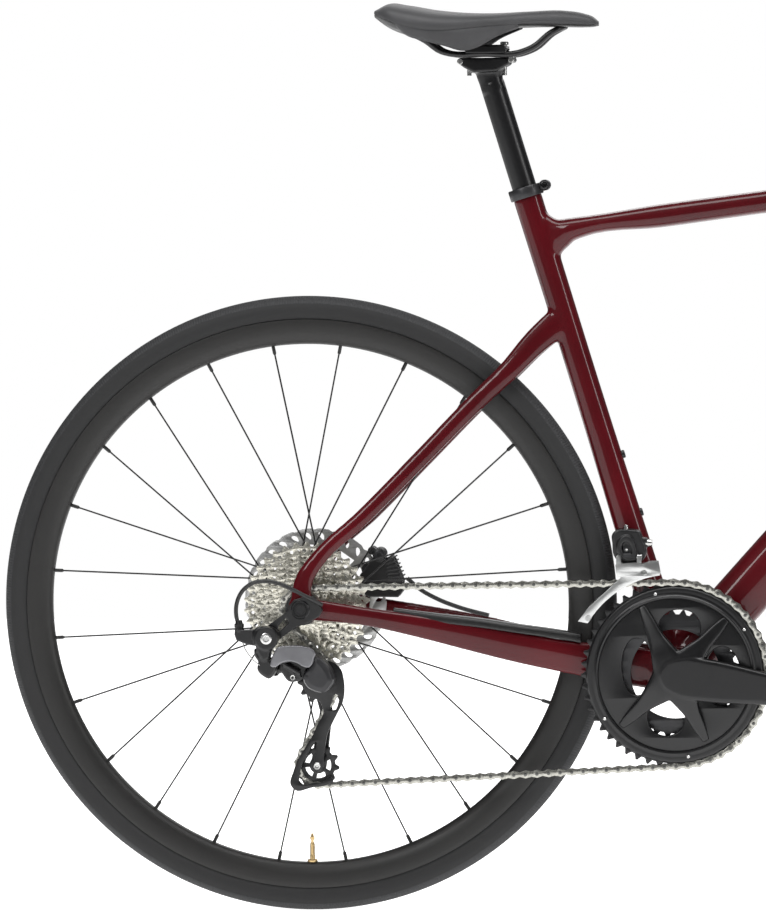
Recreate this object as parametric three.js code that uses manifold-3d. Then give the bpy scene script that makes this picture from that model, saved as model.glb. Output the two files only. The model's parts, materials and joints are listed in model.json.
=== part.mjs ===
// A road bicycle: carbon frame and fork, disc brakes, 50/34 crankset and an eleven-to-thirty-four cassette.
// Millimetres, +X forward, +Y to the rider's left, +Z up. Shapes are set out from the rear axle,
// and the last group moves the whole bicycle so that the origin lies midway between the axles.
import * as THREE from "three";
import { mergeVertices } from "three/addons/utils/BufferGeometryUtils.js";
import Module from "manifold-3d";

const wasm = await Module();
wasm.setup();

// ---- driving dimensions ----
const TYRE_RADIUS = 342; // 700C wheel with a 30 mm tyre
const TYRE_HALF_WIDTH = 15.5;
const RIM_RADIUS = 316;
const RIM_INNER_RADIUS = 288.5;
const RIM_HALF_WIDTH = 12.5;
const SPOKE_COUNT = 24;
const CHAINSTAY = 415;
const BB_DROP = 74.5;
const STACK = 580;
const REACH = 384;
const HEAD_ANGLE = THREE.MathUtils.degToRad(72);
const SEAT_ANGLE = THREE.MathUtils.degToRad(73.2);
const SEAT_TUBE_SETBACK = 3.4; // the seat tube's centre line passes this far behind the bottom bracket
const FORK_OFFSET = 50;
const HEAD_TUBE_LENGTH = 165;
const DROPOUT_FACE = 71; // half the rear hub's width
const FRONT_DROPOUT_FACE = 50;
const ROTOR_RADIUS = 80;
const REAR_ROTOR_Y = 55.7;
const FRONT_ROTOR_Y = 35.7;
const SEATPOST_RADIUS = 13.6;
const SEATPOST_INSERTION = 130;
const CRANK_LENGTH = 172.5;
const CRANK_DIP = THREE.MathUtils.degToRad(8); // how far the right crank points below level
const CHAIN_PITCH = 12.7;
const OUTER_TEETH = 50;
const INNER_TEETH = 34;
const OUTER_RING_Y = -47.5;
const INNER_RING_Y = -41;
const PULLEY_TEETH = 11;
const COG_TEETH = [11, 12, 13, 14, 15, 17, 19, 21, 24, 27, 30, 34];
const SMALL_COG_Y = -62;
const COG_SPACING = 3.5;
const GAP = 0.3; // between pieces that touch
const WHEEL_SEGMENTS = 32;

// ---- points worked out from the driving dimensions ----
const AXLE_Z = TYRE_RADIUS;
const BB = { x: Math.sqrt(CHAINSTAY ** 2 - BB_DROP ** 2), z: AXLE_Z - BB_DROP };
const HEAD_TOP = { x: BB.x + REACH, z: BB.z + STACK };
const STEER_DOWN = { x: Math.cos(HEAD_ANGLE), z: -Math.sin(HEAD_ANGLE) };
const STEER_FORWARD = { x: Math.sin(HEAD_ANGLE), z: Math.cos(HEAD_ANGLE) };
const FRONT_AXLE_X =
  HEAD_TOP.x + (HEAD_TOP.z - AXLE_Z) / Math.tan(HEAD_ANGLE) + FORK_OFFSET / Math.sin(HEAD_ANGLE);
const CASSETTE_BACK_Y = SMALL_COG_Y + COG_SPACING * (COG_TEETH.length - 1);

const seatTubeX = (z) => BB.x - SEAT_TUBE_SETBACK - (z - BB.z) / Math.tan(SEAT_ANGLE);
const seatPoint = (z) => [seatTubeX(z), 0, z];
const pitchRadius = (teeth) => CHAIN_PITCH / 2 / Math.sin(Math.PI / teeth);
// A point this far down the steering axis from the top of the head tube, and this far ahead of it.
const steerPoint = (down, forward = 0, y = 0) => [
  HEAD_TOP.x + STEER_DOWN.x * down + STEER_FORWARD.x * forward,
  y,
  HEAD_TOP.z + STEER_DOWN.z * down + STEER_FORWARD.z * forward,
];

// ---- solids ----
function solid(geometry) {
  const bare = geometry.clone();
  bare.deleteAttribute("normal");
  bare.deleteAttribute("uv");
  const merged = mergeVertices(bare, 1e-3);
  return new wasm.Manifold(
    new wasm.Mesh({
      numProp: 3,
      vertProperties: merged.getAttribute("position").array,
      triVerts: new Uint32Array(merged.index.array),
    }),
  );
}

function geometryOf(manifold) {
  const mesh = manifold.getMesh();
  const geometry = new THREE.BufferGeometry();
  geometry.setAttribute("position", new THREE.BufferAttribute(new Float32Array(mesh.vertProperties), 3));
  geometry.setIndex([...mesh.triVerts]);
  geometry.computeVertexNormals();
  return geometry;
}

const joined = (...solids) => solids.reduce((whole, next) => whole.add(next));

// A closed skin through rings of points that all have the same length; flat ends unless it is a loop.
function loft(rings, loop = false) {
  const count = rings[0].length;
  const positions = rings.flat().flatMap((p) => [p.x, p.y, p.z]);
  const index = [];
  const last = loop ? rings.length : rings.length - 1;
  for (let i = 0; i < last; i++) {
    const a = i * count;
    const b = ((i + 1) % rings.length) * count;
    for (let k = 0; k < count; k++) {
      const next = (k + 1) % count;
      index.push(a + k, b + k, b + next, a + k, b + next, a + next);
    }
  }
  if (!loop) {
    const end = (rings.length - 1) * count;
    for (let k = 1; k < count - 1; k++) {
      index.push(0, k, k + 1);
      index.push(end, end + k + 1, end + k);
    }
  }
  const geometry = new THREE.BufferGeometry();
  geometry.setAttribute("position", new THREE.Float32BufferAttribute(positions, 3));
  geometry.setIndex(index);
  const made = solid(geometry);
  if (made.volume() > 0) return made;
  for (let i = 0; i < index.length; i += 3) [index[i], index[i + 1]] = [index[i + 1], index[i]];
  geometry.setIndex(index);
  return solid(geometry);
}

// A tube of oval section through stations [x, y, z, depth, width]: depth in the plane of the bicycle.
function ovalTube(stations, sides = 10) {
  const places = stations.map(([x, y, z]) => new THREE.Vector3(x, y, z));
  const across = new THREE.Vector3(0, 1, 0);
  const rings = stations.map(([, , , depth, width], i) => {
    const before = places[Math.max(i - 1, 0)];
    const after = places[Math.min(i + 1, places.length - 1)];
    const along = after.clone().sub(before).normalize();
    const up = new THREE.Vector3().crossVectors(along, across).normalize();
    const side = new THREE.Vector3().crossVectors(up, along).normalize();
    return Array.from({ length: sides }, (_, k) => {
      const turn = (2 * Math.PI * (k + 0.5)) / sides;
      return places[i]
        .clone()
        .addScaledVector(up, (depth / 2) * Math.cos(turn))
        .addScaledVector(side, (width / 2) * Math.sin(turn));
    });
  });
  return loft(rings);
}

// A round bar or hole between two points.
function rod(from, to, radius, sides = 10) {
  const a = new THREE.Vector3(...from);
  const b = new THREE.Vector3(...to);
  const geometry = new THREE.CylinderGeometry(radius, radius, a.distanceTo(b), sides);
  const turn = new THREE.Quaternion().setFromUnitVectors(
    new THREE.Vector3(0, 1, 0),
    b.clone().sub(a).normalize(),
  );
  geometry.applyQuaternion(turn);
  const middle = a.add(b).multiplyScalar(0.5);
  geometry.translate(middle.x, middle.y, middle.z);
  return solid(geometry);
}

// A round bar across the bicycle at (x, z).
const crossRod = (x, z, yLow, yHigh, radius, sides = 10) =>
  rod([x, yLow, z], [x, yHigh, z], radius, sides);

// A ring turned about a line across the bicycle; the profile is [radius, y] pairs.
function turned(profile, x, z, segments = WHEEL_SEGMENTS) {
  const points = profile.map(([radius, y]) => new THREE.Vector2(radius, y));
  const geometry = new THREE.LatheGeometry(points, segments);
  geometry.translate(x, 0, z);
  const made = solid(geometry);
  if (made.volume() > 0) return made;
  const back = new THREE.LatheGeometry(points.reverse(), segments);
  back.translate(x, 0, z);
  return solid(back);
}

const closedProfile = (profile) => [...profile, profile[0]];

// A flat plate whose outline lies in the plane of the bicycle.
function plate(shape, yLow, yHigh, curveSegments = 4) {
  const geometry = new THREE.ExtrudeGeometry(shape, {
    depth: yHigh - yLow,
    bevelEnabled: false,
    curveSegments,
  });
  geometry.rotateX(Math.PI / 2);
  geometry.translate(0, yHigh, 0);
  return solid(geometry);
}

const outline = (points) => new THREE.Shape(points.map(([x, z]) => new THREE.Vector2(x, z)));

// The outline of a strap round two circles, each [x, z, radius].
function strap([x1, z1, r1], [x2, z2, r2]) {
  const along = Math.atan2(z2 - z1, x2 - x1);
  const open = Math.acos((r1 - r2) / Math.hypot(x2 - x1, z2 - z1));
  const shape = new THREE.Shape();
  shape.absarc(x1, z1, r1, along + open, along - open + 2 * Math.PI, false);
  shape.absarc(x2, z2, r2, along - open, along + open, false);
  return shape;
}

const block = (low, high) => {
  const size = high.map((v, i) => v - low[i]);
  const geometry = new THREE.BoxGeometry(...size);
  geometry.translate(...low.map((v, i) => v + size[i] / 2));
  return solid(geometry);
};

// A cord or tube along a smooth curve.
function curvedTube(points, radius, steps, sides = 8) {
  const curve = new THREE.CatmullRomCurve3(points.map((p) => new THREE.Vector3(...p)));
  const section = new THREE.Shape(
    Array.from({ length: sides }, (_, k) => {
      const turn = (2 * Math.PI * k) / sides;
      return new THREE.Vector2(radius * Math.cos(turn), radius * Math.sin(turn));
    }),
  );
  const geometry = new THREE.ExtrudeGeometry(section, { steps, extrudePath: curve });
  return solid(geometry);
}

// ---- materials ----
const paint = (color, roughness, metalness) =>
  new THREE.MeshStandardMaterial({ color, roughness, metalness });
const WINE = paint(0x4a0a12, 0.15, 0.1);
const SATIN_BLACK = paint(0x1c1c1d, 0.45, 0.2);
const MATTE_BLACK = paint(0x202021, 0.8, 0);
const DARK_GREY = paint(0x3a3b3d, 0.5, 0.4);
const SILVER = paint(0xb9b4a8, 0.35, 0.9);
const STEEL = paint(0x8f8f90, 0.35, 0.95);
const TYRE = paint(0x2b2b2c, 0.9, 0);
const BRASS = paint(0xb08d4a, 0.35, 0.9);

const bicycle = new THREE.Group();
bicycle.position.x = -FRONT_AXLE_X / 2;

function add(name, material, manifold) {
  const mesh = new THREE.Mesh(geometryOf(manifold), material);
  mesh.name = name;
  bicycle.add(mesh);
}

// ---- frame ----
const HEAD_TUBE_BORE = 17.5;
const SEAT_TUBE_TOP = 793;
const BB_SHELL_HALF = 37;
const BB_BORE = 20.8;
const SEAT_TUBE_BORE = SEATPOST_RADIUS + 0.4;
const DROPOUT_OUTER = 76;
const AXLE_HOLE = 6.4;

function chainstay(side) {
  return ovalTube([
    [400, side * 24, 269, 48, 20],
    [345, side * 28, 277, 43, 16],
    [300, side * 32, 284, 38, 15],
    [239, side * 42, 296.4, 35, 15],
    [184, side * 50, 309.5, 32, 14],
    [130, side * 58, 321.4, 26, 13],
    [64, side * 66.5, 334, 21, 12],
    [20, side * 70.5, 340, 24, 11],
    [0, side * 71, 342, 28, 10],
  ], 8);
}

function seatstay(side) {
  return ovalTube([
    [283, side * 6, 655, 34, 16],
    [256, side * 14, 632, 29, 18],
    [226, side * 25, 600, 23.5, 15],
    [192, side * 30, 568, 21.5, 13],
    [128, side * 43, 503, 19.5, 12],
    [64, side * 58, 439, 18.5, 12],
    [20, side * 66, 399, 18.5, 11],
    [2, side * 70, 374, 20, 11],
    [-1, side * 71, 342, 26, 10],
  ], 8);
}

function frame() {
  const seatTube = ovalTube([
    [...seatPoint(272), 42, 42],
    [...seatPoint(330), 37, 38],
    [...seatPoint(424), 34, 34],
    [...seatPoint(545), 31, 32],
    [...seatPoint(SEAT_TUBE_TOP), 32, 32],
  ], 12);
  const topTube = ovalTube([
    [262, 0, 750, 44, 30],
    [281, 0, 754, 28, 32],
    [303, 0, 757, 23.5, 34],
    [395, 0, 769, 25.5, 36],
    [509, 0, 783.5, 25, 38],
    [650, 0, 801, 28, 40],
    [750, 0, 813, 36, 40],
    [798, 0, 815, 48, 38],
  ]);
  const downTube = ovalTube([
    [405, 0, 262, 62, 60],
    [450, 0, 315, 59, 56],
    [529, 0, 404, 58, 52],
    [680, 0, 572, 55, 48],
    [790, 0, 696, 56, 44],
    [830, 0, 736, 60, 40],
  ]);
  const headTube = ovalTube([
    [...steerPoint(0), 46, 44],
    [...steerPoint(60), 46, 43],
    [...steerPoint(HEAD_TUBE_LENGTH), 60, 58],
  ], 12);
  const shell = crossRod(BB.x, BB.z, -BB_SHELL_HALF, BB_SHELL_HALF, 27, 16);
  const sides = [-1, 1].map((side) =>
    joined(
      chainstay(side),
      seatstay(side),
      crossRod(0, AXLE_Z, side * (DROPOUT_FACE - 5), side * DROPOUT_OUTER, 16, 14),
    ),
  );
  const cuts = joined(
    crossRod(BB.x, BB.z, -60, 60, BB_BORE, 16),
    crossRod(0, AXLE_Z, -90, 90, AXLE_HOLE, 10),
    crossRod(0, AXLE_Z, -DROPOUT_FACE - GAP, DROPOUT_FACE + GAP, 17, 12),
    rod(seatPoint(SEAT_TUBE_TOP - 250), seatPoint(SEAT_TUBE_TOP + 40), SEAT_TUBE_BORE, 12),
    rod(steerPoint(-10), steerPoint(HEAD_TUBE_LENGTH + 10), HEAD_TUBE_BORE, 12),
    rod(steerPoint(-10), steerPoint(8), 20, 12),
    rod(steerPoint(HEAD_TUBE_LENGTH - 9), steerPoint(HEAD_TUBE_LENGTH + 10), 26, 12),
  );
  // the outer faces of the stays are cut flat beside the bottom bracket, so the small chainring clears them
  const beside = joined(
    block([BB.x - 82, -80, BB.z - 80], [BB.x + 80, -BB_SHELL_HALF, BB.z + 80]),
    block([BB.x - 82, BB_SHELL_HALF, BB.z - 80], [BB.x + 80, 80, BB.z + 80]),
  );
  return joined(seatTube, topTube, downTube, headTube, shell, ...sides).subtract(cuts).subtract(beside);
}
add("frame", WINE, frame());

// ---- seat collar, seatpost and saddle ----
const COLLAR_LOW = 788;
const COLLAR_HIGH = 804;
const POST_TOP = 922;

function alongSeat(z, ahead, y = 0) {
  return [seatTubeX(z) + Math.sin(SEAT_ANGLE) * ahead, y, z + Math.cos(SEAT_ANGLE) * ahead];
}

function seatCollar() {
  const ring = rod(seatPoint(COLLAR_LOW), seatPoint(COLLAR_HIGH), 19, 12);
  const ears = block([-4, -8, -6.5], [10, 8, 6.5]);
  const middle = alongSeat((COLLAR_LOW + COLLAR_HIGH) / 2, 20);
  const lug = ears.translate(middle);
  const slot = block([0, -1, -20], [30, 1, 20]).translate(seatPoint((COLLAR_LOW + COLLAR_HIGH) / 2));
  const boltHole = crossRod(middle[0] + 3, middle[2], -9, 9, 3.3, 8);
  // a step inside the collar sits on the rim of the seat tube
  const step = rod(seatPoint(COLLAR_LOW - 5), seatPoint(SEAT_TUBE_TOP + 1), 17, 12);
  const bore = rod(seatPoint(COLLAR_LOW - 5), seatPoint(COLLAR_HIGH + 5), SEATPOST_RADIUS + 0.4, 12);
  return joined(ring, lug).subtract(slot).subtract(step).subtract(bore).subtract(boltHole);
}

function collarBolt() {
  const [x, , z] = alongSeat((COLLAR_LOW + COLLAR_HIGH) / 2, 20);
  return joined(
    crossRod(x + 3, z, -8.6, 11, 2.9, 8),
    crossRod(x + 3, z, -13.5, -8.4, 6.4, 12),
  );
}

function seatpost() {
  const shaft = rod(seatPoint(SEAT_TUBE_TOP - SEATPOST_INSERTION), seatPoint(POST_TOP), SEATPOST_RADIUS, 12);
  const neck = ovalTube([
    [...seatPoint(POST_TOP - 14), 26, 26],
    [...seatPoint(POST_TOP), 30, 26],
    [205, 0, 934, 44, 26],
  ]);
  const top = RAIL_Z - 4.6;
  const cradle = plate(
    outline([[178, 927], [228, 930], [234, top - 8], [234, top], [176, top], [174, top - 8]]),
    -19,
    19,
  );
  const boltHoles = joined(
    rod([CLAMP_BOLT_REAR_X, 0, 900], [CLAMP_BOLT_REAR_X, 0, 970], 2.9, 10),
    rod([CLAMP_BOLT_FRONT_X, 0, 900], [CLAMP_BOLT_FRONT_X, 0, 970], 2.9, 10),
  );
  const railGrooves = joined(railRun(-1, RAIL_RADIUS + GAP), railRun(1, RAIL_RADIUS + GAP));
  return joined(shaft, neck, cradle).subtract(boltHoles).subtract(railGrooves);
}

const RAIL_RADIUS = 3.5;
const RAIL_Z = 949;
const RAIL_Y = 22;
const CLAMP_BOLT_REAR_X = 184;
const CLAMP_BOLT_FRONT_X = 223;

// The straight stretch of a rail, as a cutter for the pieces that hold it.
const railRun = (side, radius) => rod([150, side * RAIL_Y, RAIL_Z], [252, side * RAIL_Y, RAIL_Z], radius, 10);

function railClamp() {
  const bridge = plate(
    outline([[180, RAIL_Z + 4.3], [228, RAIL_Z + 4.3], [224, RAIL_Z + 9.5], [184, RAIL_Z + 9.5]]),
    -19,
    19,
  );
  const clips = [-1, 1].map((side) => {
    const outer = block(
      [182, side > 0 ? 18 : -27.5, RAIL_Z + GAP],
      [226, side > 0 ? 27.5 : -18, RAIL_Z + 8.5],
    );
    return outer.subtract(railRun(side, RAIL_RADIUS + GAP));
  });
  const holes = joined(
    rod([CLAMP_BOLT_REAR_X, 0, 940], [CLAMP_BOLT_REAR_X, 0, 970], 2.9, 10),
    rod([CLAMP_BOLT_FRONT_X, 0, 940], [CLAMP_BOLT_FRONT_X, 0, 970], 2.9, 10),
  );
  return joined(bridge, ...clips).subtract(holes);
}

const clampBolt = (x) =>
  joined(
    rod([x, 0, 918], [x, 0, RAIL_Z + 9.9], 2.5, 10),
    rod([x, 0, RAIL_Z + 9.8], [x, 0, RAIL_Z + 13], 4.6, 12),
  );

// One wire, bent at the front and the back, carries the saddle.
function saddleRails(radius = RAIL_RADIUS) {
  const side = (s) => [
    [121, s * 30, 973],
    [138, s * 27, 964],
    [155, s * 23, 952],
    [166, s * RAIL_Y, RAIL_Z],
    [200, s * RAIL_Y, RAIL_Z],
    [240, s * RAIL_Y, RAIL_Z],
    [256, s * 21, 955],
    [276, s * 15, 971],
    [287, s * 8, 976.5],
  ];
  return curvedTube([...side(-1), [290, 0, 977.5], ...side(1).reverse()], radius, 34, 6);
}

// Saddle stations: x, half width, height of the top, of the pad's lower edge and of the shell's underside.
const SADDLE = [
  [84, 44, 998, 993, 988],
  [96, 60, 1005, 987, 979],
  [120, 70, 1003, 979, 969],
  [150, 70, 997.5, 974, 965],
  [186, 58, 994, 977, 970],
  [216, 42, 993.5, 982, 976],
  [250, 27, 995, 984, 979],
  [290, 21, 995.3, 984, 979.5],
  [316, 17, 990, 982, 979.5],
  [327, 8, 983.5, 980.5, 979],
];

function saddleRing(x, halfWidth, high, low, sag) {
  const ring = [];
  const steps = 8;
  for (let k = 0; k <= steps; k++) {
    const turn = (Math.PI * k) / steps;
    const y = halfWidth * Math.cos(turn);
    ring.push(new THREE.Vector3(x, y, low + (high - low) * Math.sin(turn) ** 0.55));
  }
  for (let k = 1; k < 4; k++) {
    const y = -halfWidth * Math.cos((Math.PI * k) / 4) * 0.94;
    ring.push(new THREE.Vector3(x, y, low - sag * Math.sin((Math.PI * k) / 4)));
  }
  return ring;
}

const saddlePad = () => loft(SADDLE.map(([x, half, high, low]) => saddleRing(x, half, high, low, -0.6)));
const SHELL_EDGE = 0.7; // thickness of the shell at its rim
const saddleShell = () =>
  loft(SADDLE.map(([x, half, , low, under]) => {
    const high = low - GAP - 0.2;
    const edge = high - SHELL_EDGE;
    return saddleRing(x, half - 1.5, high, edge, edge - under);
  }));

add("seat_collar", DARK_GREY, seatCollar());
add("seat_collar_bolt", DARK_GREY, collarBolt());
add("seatpost", SATIN_BLACK, seatpost());
add("rail_clamp", SATIN_BLACK, railClamp());
add("clamp_bolt_rear", STEEL, clampBolt(CLAMP_BOLT_REAR_X));
add("clamp_bolt_front", STEEL, clampBolt(CLAMP_BOLT_FRONT_X));
add("saddle_rails", SATIN_BLACK, saddleRails());
add("saddle_shell", MATTE_BLACK, saddleShell().subtract(saddleRails(RAIL_RADIUS + GAP)));
add("saddle_pad", DARK_GREY, saddlePad());

// ---- wheels ----
const TYRE_PROFILE = [
  [RIM_RADIUS + GAP, -RIM_HALF_WIDTH + 1],
  [327, -TYRE_HALF_WIDTH],
  [338.5, -9],
  [TYRE_RADIUS, 0],
  [338.5, 9],
  [327, TYRE_HALF_WIDTH],
  [RIM_RADIUS + GAP, RIM_HALF_WIDTH - 1],
];
const RIM_PROFILE = [
  [RIM_RADIUS, -RIM_HALF_WIDTH],
  [RIM_RADIUS, RIM_HALF_WIDTH],
  [294, 9.5],
  [RIM_INNER_RADIUS, 3.5],
  [RIM_INNER_RADIUS, -3.5],
  [294, -9.5],
];

const tyre = (x) => turned(closedProfile(TYRE_PROFILE), x, AXLE_Z);
const rim = (x) => turned(closedProfile(RIM_PROFILE), x, AXLE_Z);

const SPOKE_END = RIM_INNER_RADIUS - 1.6;

// Half the spokes start at each flange and cross over; every spoke ends at the middle of the rim.
function spokes(x, flanges, flangeRadius) {
  const made = [];
  for (let k = 0; k < SPOKE_COUNT; k++) {
    const rimAngle = (2 * Math.PI * (k + 0.5)) / SPOKE_COUNT;
    const side = k % 4 < 2 ? 1 : -1;
    const flangeY = flanges[k % 2] + side * 1.3;
    const lean = side * THREE.MathUtils.degToRad(62);
    const hubAngle = rimAngle + lean;
    const holeRadius = flangeRadius - 1;
    made.push(
      rod(
        [x + holeRadius * Math.cos(hubAngle), flangeY, AXLE_Z + holeRadius * Math.sin(hubAngle)],
        [x + SPOKE_END * Math.cos(rimAngle), 0, AXLE_Z + SPOKE_END * Math.sin(rimAngle)],
        1.1,
        3,
      ),
    );
  }
  return joined(...made);
}

const HUB_BORE = 6.5;
const REAR_FLANGE_RIGHT_Y = -17;
const REAR_FLANGE_LEFT_Y = 31;
const REAR_FLANGE_RADIUS = 26;
const FRONT_FLANGE_Y = 26;
const FRONT_FLANGE_RADIUS = 22;
const FREEHUB_END_Y = -66;
const FREEHUB_BACK_Y = -20.5;

function rearHub() {
  const shell = turned(closedProfile([
    [HUB_BORE, -DROPOUT_FACE + 0.2],
    [9.5, -DROPOUT_FACE + 0.2],
    [9.5, REAR_FLANGE_RIGHT_Y - 2.5],
    [REAR_FLANGE_RADIUS, REAR_FLANGE_RIGHT_Y - 2],
    [REAR_FLANGE_RADIUS, REAR_FLANGE_RIGHT_Y + 2],
    [13, 0],
    [REAR_FLANGE_RADIUS, REAR_FLANGE_LEFT_Y - 2],
    [REAR_FLANGE_RADIUS, REAR_FLANGE_LEFT_Y + 2],
    [15, REAR_FLANGE_LEFT_Y + 4],
    [15, REAR_ROTOR_Y - 1.5],
    [15, REAR_ROTOR_Y + 2.5],
    [9.5, DROPOUT_FACE - 0.2],
    [HUB_BORE, DROPOUT_FACE - 0.2],
  ]), 0, AXLE_Z, 12);
  return shell.add(spokes(0, [REAR_FLANGE_RIGHT_Y, REAR_FLANGE_LEFT_Y], REAR_FLANGE_RADIUS));
}

function frontHub() {
  const shell = turned(closedProfile([
    [HUB_BORE, -FRONT_DROPOUT_FACE + 0.2],
    [10, -FRONT_DROPOUT_FACE + 0.2],
    [11, -32],
    [FRONT_FLANGE_RADIUS, -FRONT_FLANGE_Y - 2],
    [FRONT_FLANGE_RADIUS, -FRONT_FLANGE_Y + 2],
    [12, -18],
    [12, 18],
    [FRONT_FLANGE_RADIUS, FRONT_FLANGE_Y - 2],
    [FRONT_FLANGE_RADIUS, FRONT_FLANGE_Y + 2],
    [15, FRONT_FLANGE_Y + 3],
    [15, FRONT_ROTOR_Y + 2.5],
    [10, FRONT_DROPOUT_FACE - 0.2],
    [HUB_BORE, FRONT_DROPOUT_FACE - 0.2],
  ]), FRONT_AXLE_X, AXLE_Z, 12);
  return shell.add(spokes(FRONT_AXLE_X, [-FRONT_FLANGE_Y, FRONT_FLANGE_Y], FRONT_FLANGE_RADIUS));
}

// A brake rotor: a track carried by slanting arms on a centre that slides onto the hub's splines.
function rotor(x, y) {
  const thick = 0.9;
  const flatRing = (inner, outer, segments) =>
    turned(closedProfile([[inner, y - thick], [inner, y + thick], [outer, y + thick], [outer, y - thick]]),
      x, AXLE_Z, segments);
  const track = flatRing(64, ROTOR_RADIUS, 28);
  const centre = flatRing(15.6, 24, 12);
  const arms = Array.from({ length: 6 }, (_, k) => {
    const turn = (Math.PI * k) / 3;
    const lean = turn + 0.35;
    return plate(
      strap(
        [x + 20 * Math.cos(turn), AXLE_Z + 20 * Math.sin(turn), 4],
        [x + 66 * Math.cos(lean), AXLE_Z + 66 * Math.sin(lean), 3],
      ),
      y - thick,
      y + thick,
      1,
    );
  });
  return joined(track, centre, ...arms);
}

const valve = (x) =>
  joined(
    rod([x, 0, AXLE_Z - RIM_INNER_RADIUS + GAP], [x, 0, AXLE_Z - 262], 3, 8),
    rod([x, 0, AXLE_Z - 262.1], [x, 0, AXLE_Z - 252], 2, 8),
  );

const FREEHUB_BORE = 10;
function freehub() {
  return turned(closedProfile([
    [FREEHUB_BORE, FREEHUB_END_Y + 0.5],
    [14.5, FREEHUB_END_Y + 0.5],
    [17, FREEHUB_END_Y + 12],
    [17, FREEHUB_BACK_Y],
    [FREEHUB_BORE, FREEHUB_BACK_Y],
  ]), 0, AXLE_Z, 16);
}

// Twelve cogs on one stack, from the smallest outwards.
function cassette() {
  const bore = 17.6;
  const half = 0.65;
  const steps = COG_TEETH.flatMap((teeth, i) => {
    const y = SMALL_COG_Y + COG_SPACING * i;
    const tip = pitchRadius(teeth) + 1;
    const end = i < COG_TEETH.length - 1 ? y + COG_SPACING - half : y + half;
    // the smallest cog stands clear of its neighbour, where the chain's side plate runs
    if (i) return [[tip, y - half], [tip, end]];
    return [[tip, y - half], [tip, y + half], [bore + 0.4, y + half], [bore + 0.4, end]];
  });
  return turned(closedProfile([
    [bore, SMALL_COG_Y - half],
    ...steps,
    [30, CASSETTE_BACK_Y + half],
    [24, CASSETTE_BACK_Y - 5],
    [bore, CASSETTE_BACK_Y - 5],
  ]), 0, AXLE_Z, 16);
}

function thruAxle(x, rightEnd, leftEnd) {
  return joined(
    crossRod(x, AXLE_Z, rightEnd, leftEnd, 6, 10),
    crossRod(x, AXLE_Z, leftEnd - 0.1, leftEnd + 5, 10, 12),
  );
}

add("rear_tyre", TYRE, tyre(0));
add("rear_rim", SATIN_BLACK, rim(0));
add("rear_hub_and_spokes", SATIN_BLACK, rearHub());
add("rear_rotor", STEEL, rotor(0, REAR_ROTOR_Y));
add("rear_valve", BRASS, valve(0));
add("freehub_body", STEEL, freehub());
add("cassette", SILVER, cassette());
add("rear_thru_axle", SATIN_BLACK, thruAxle(0, -DROPOUT_OUTER - 8, DROPOUT_OUTER + GAP));
add("front_tyre", TYRE, tyre(FRONT_AXLE_X));
add("front_rim", SATIN_BLACK, rim(FRONT_AXLE_X));
add("front_hub_and_spokes", SATIN_BLACK, frontHub());
add("front_rotor", STEEL, rotor(FRONT_AXLE_X, FRONT_ROTOR_Y));
add("front_thru_axle", SATIN_BLACK, thruAxle(FRONT_AXLE_X, -FRONT_DROPOUT_FACE - 9, FRONT_DROPOUT_FACE + 12));

// ---- bottom bracket and crankset ----
const SPINDLE_RADIUS = 12;
const CRANK_OUTER_Y = -70;

const bbCup = (side) =>
  turned(closedProfile([
    [SPINDLE_RADIUS + 0.4, side * (BB_SHELL_HALF - 9)],
    [BB_BORE - GAP, side * (BB_SHELL_HALF - 9)],
    [BB_BORE - GAP, side * (BB_SHELL_HALF + GAP)],
    [BB_BORE + 1.5, side * (BB_SHELL_HALF + GAP)],
    [BB_BORE + 1.5, side * (BB_SHELL_HALF + 2)],
    [SPINDLE_RADIUS + 0.4, side * (BB_SHELL_HALF + 2)],
  ]), BB.x, BB.z, 16);

const spindle = () => crossRod(BB.x, BB.z, -52, 58, SPINDLE_RADIUS, 16);

// A toothed ring: the outline alternates between tooth tips and the hollows between them.
function sprocketShape(teeth, tipRise, rootDrop, x, z) {
  const shape = new THREE.Shape();
  const radius = pitchRadius(teeth);
  for (let k = 0; k < teeth * 2; k++) {
    const turn = (Math.PI * k) / teeth;
    const r = k % 2 ? radius + tipRise : radius - rootDrop;
    const place = [x + r * Math.cos(turn), z + r * Math.sin(turn)];
    if (k) shape.lineTo(...place);
    else shape.moveTo(...place);
  }
  shape.closePath();
  return shape;
}

const roundHole = (x, z, radius) => new THREE.Path().absarc(x, z, radius, 0, 2 * Math.PI, true);

function chainring(teeth, y, innerRadius) {
  const shape = sprocketShape(teeth, 1.8, 3, BB.x, BB.z);
  shape.holes.push(roundHole(BB.x, BB.z, innerRadius));
  return plate(shape, y - 1, y + 1, 10);
}

const SPIDER_RADIUS = 55; // the four chainring bolts lie on this circle
const SPIDER_ANGLES = [42, 128, 222, 308].map(THREE.MathUtils.degToRad);
const OUTER_RING_HOLE = 61;
const INNER_RING_HOLE = 49;
const crankEnd = (along, direction) => [
  BB.x + direction * along * Math.cos(CRANK_DIP),
  BB.z - direction * along * Math.sin(CRANK_DIP),
];

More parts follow.
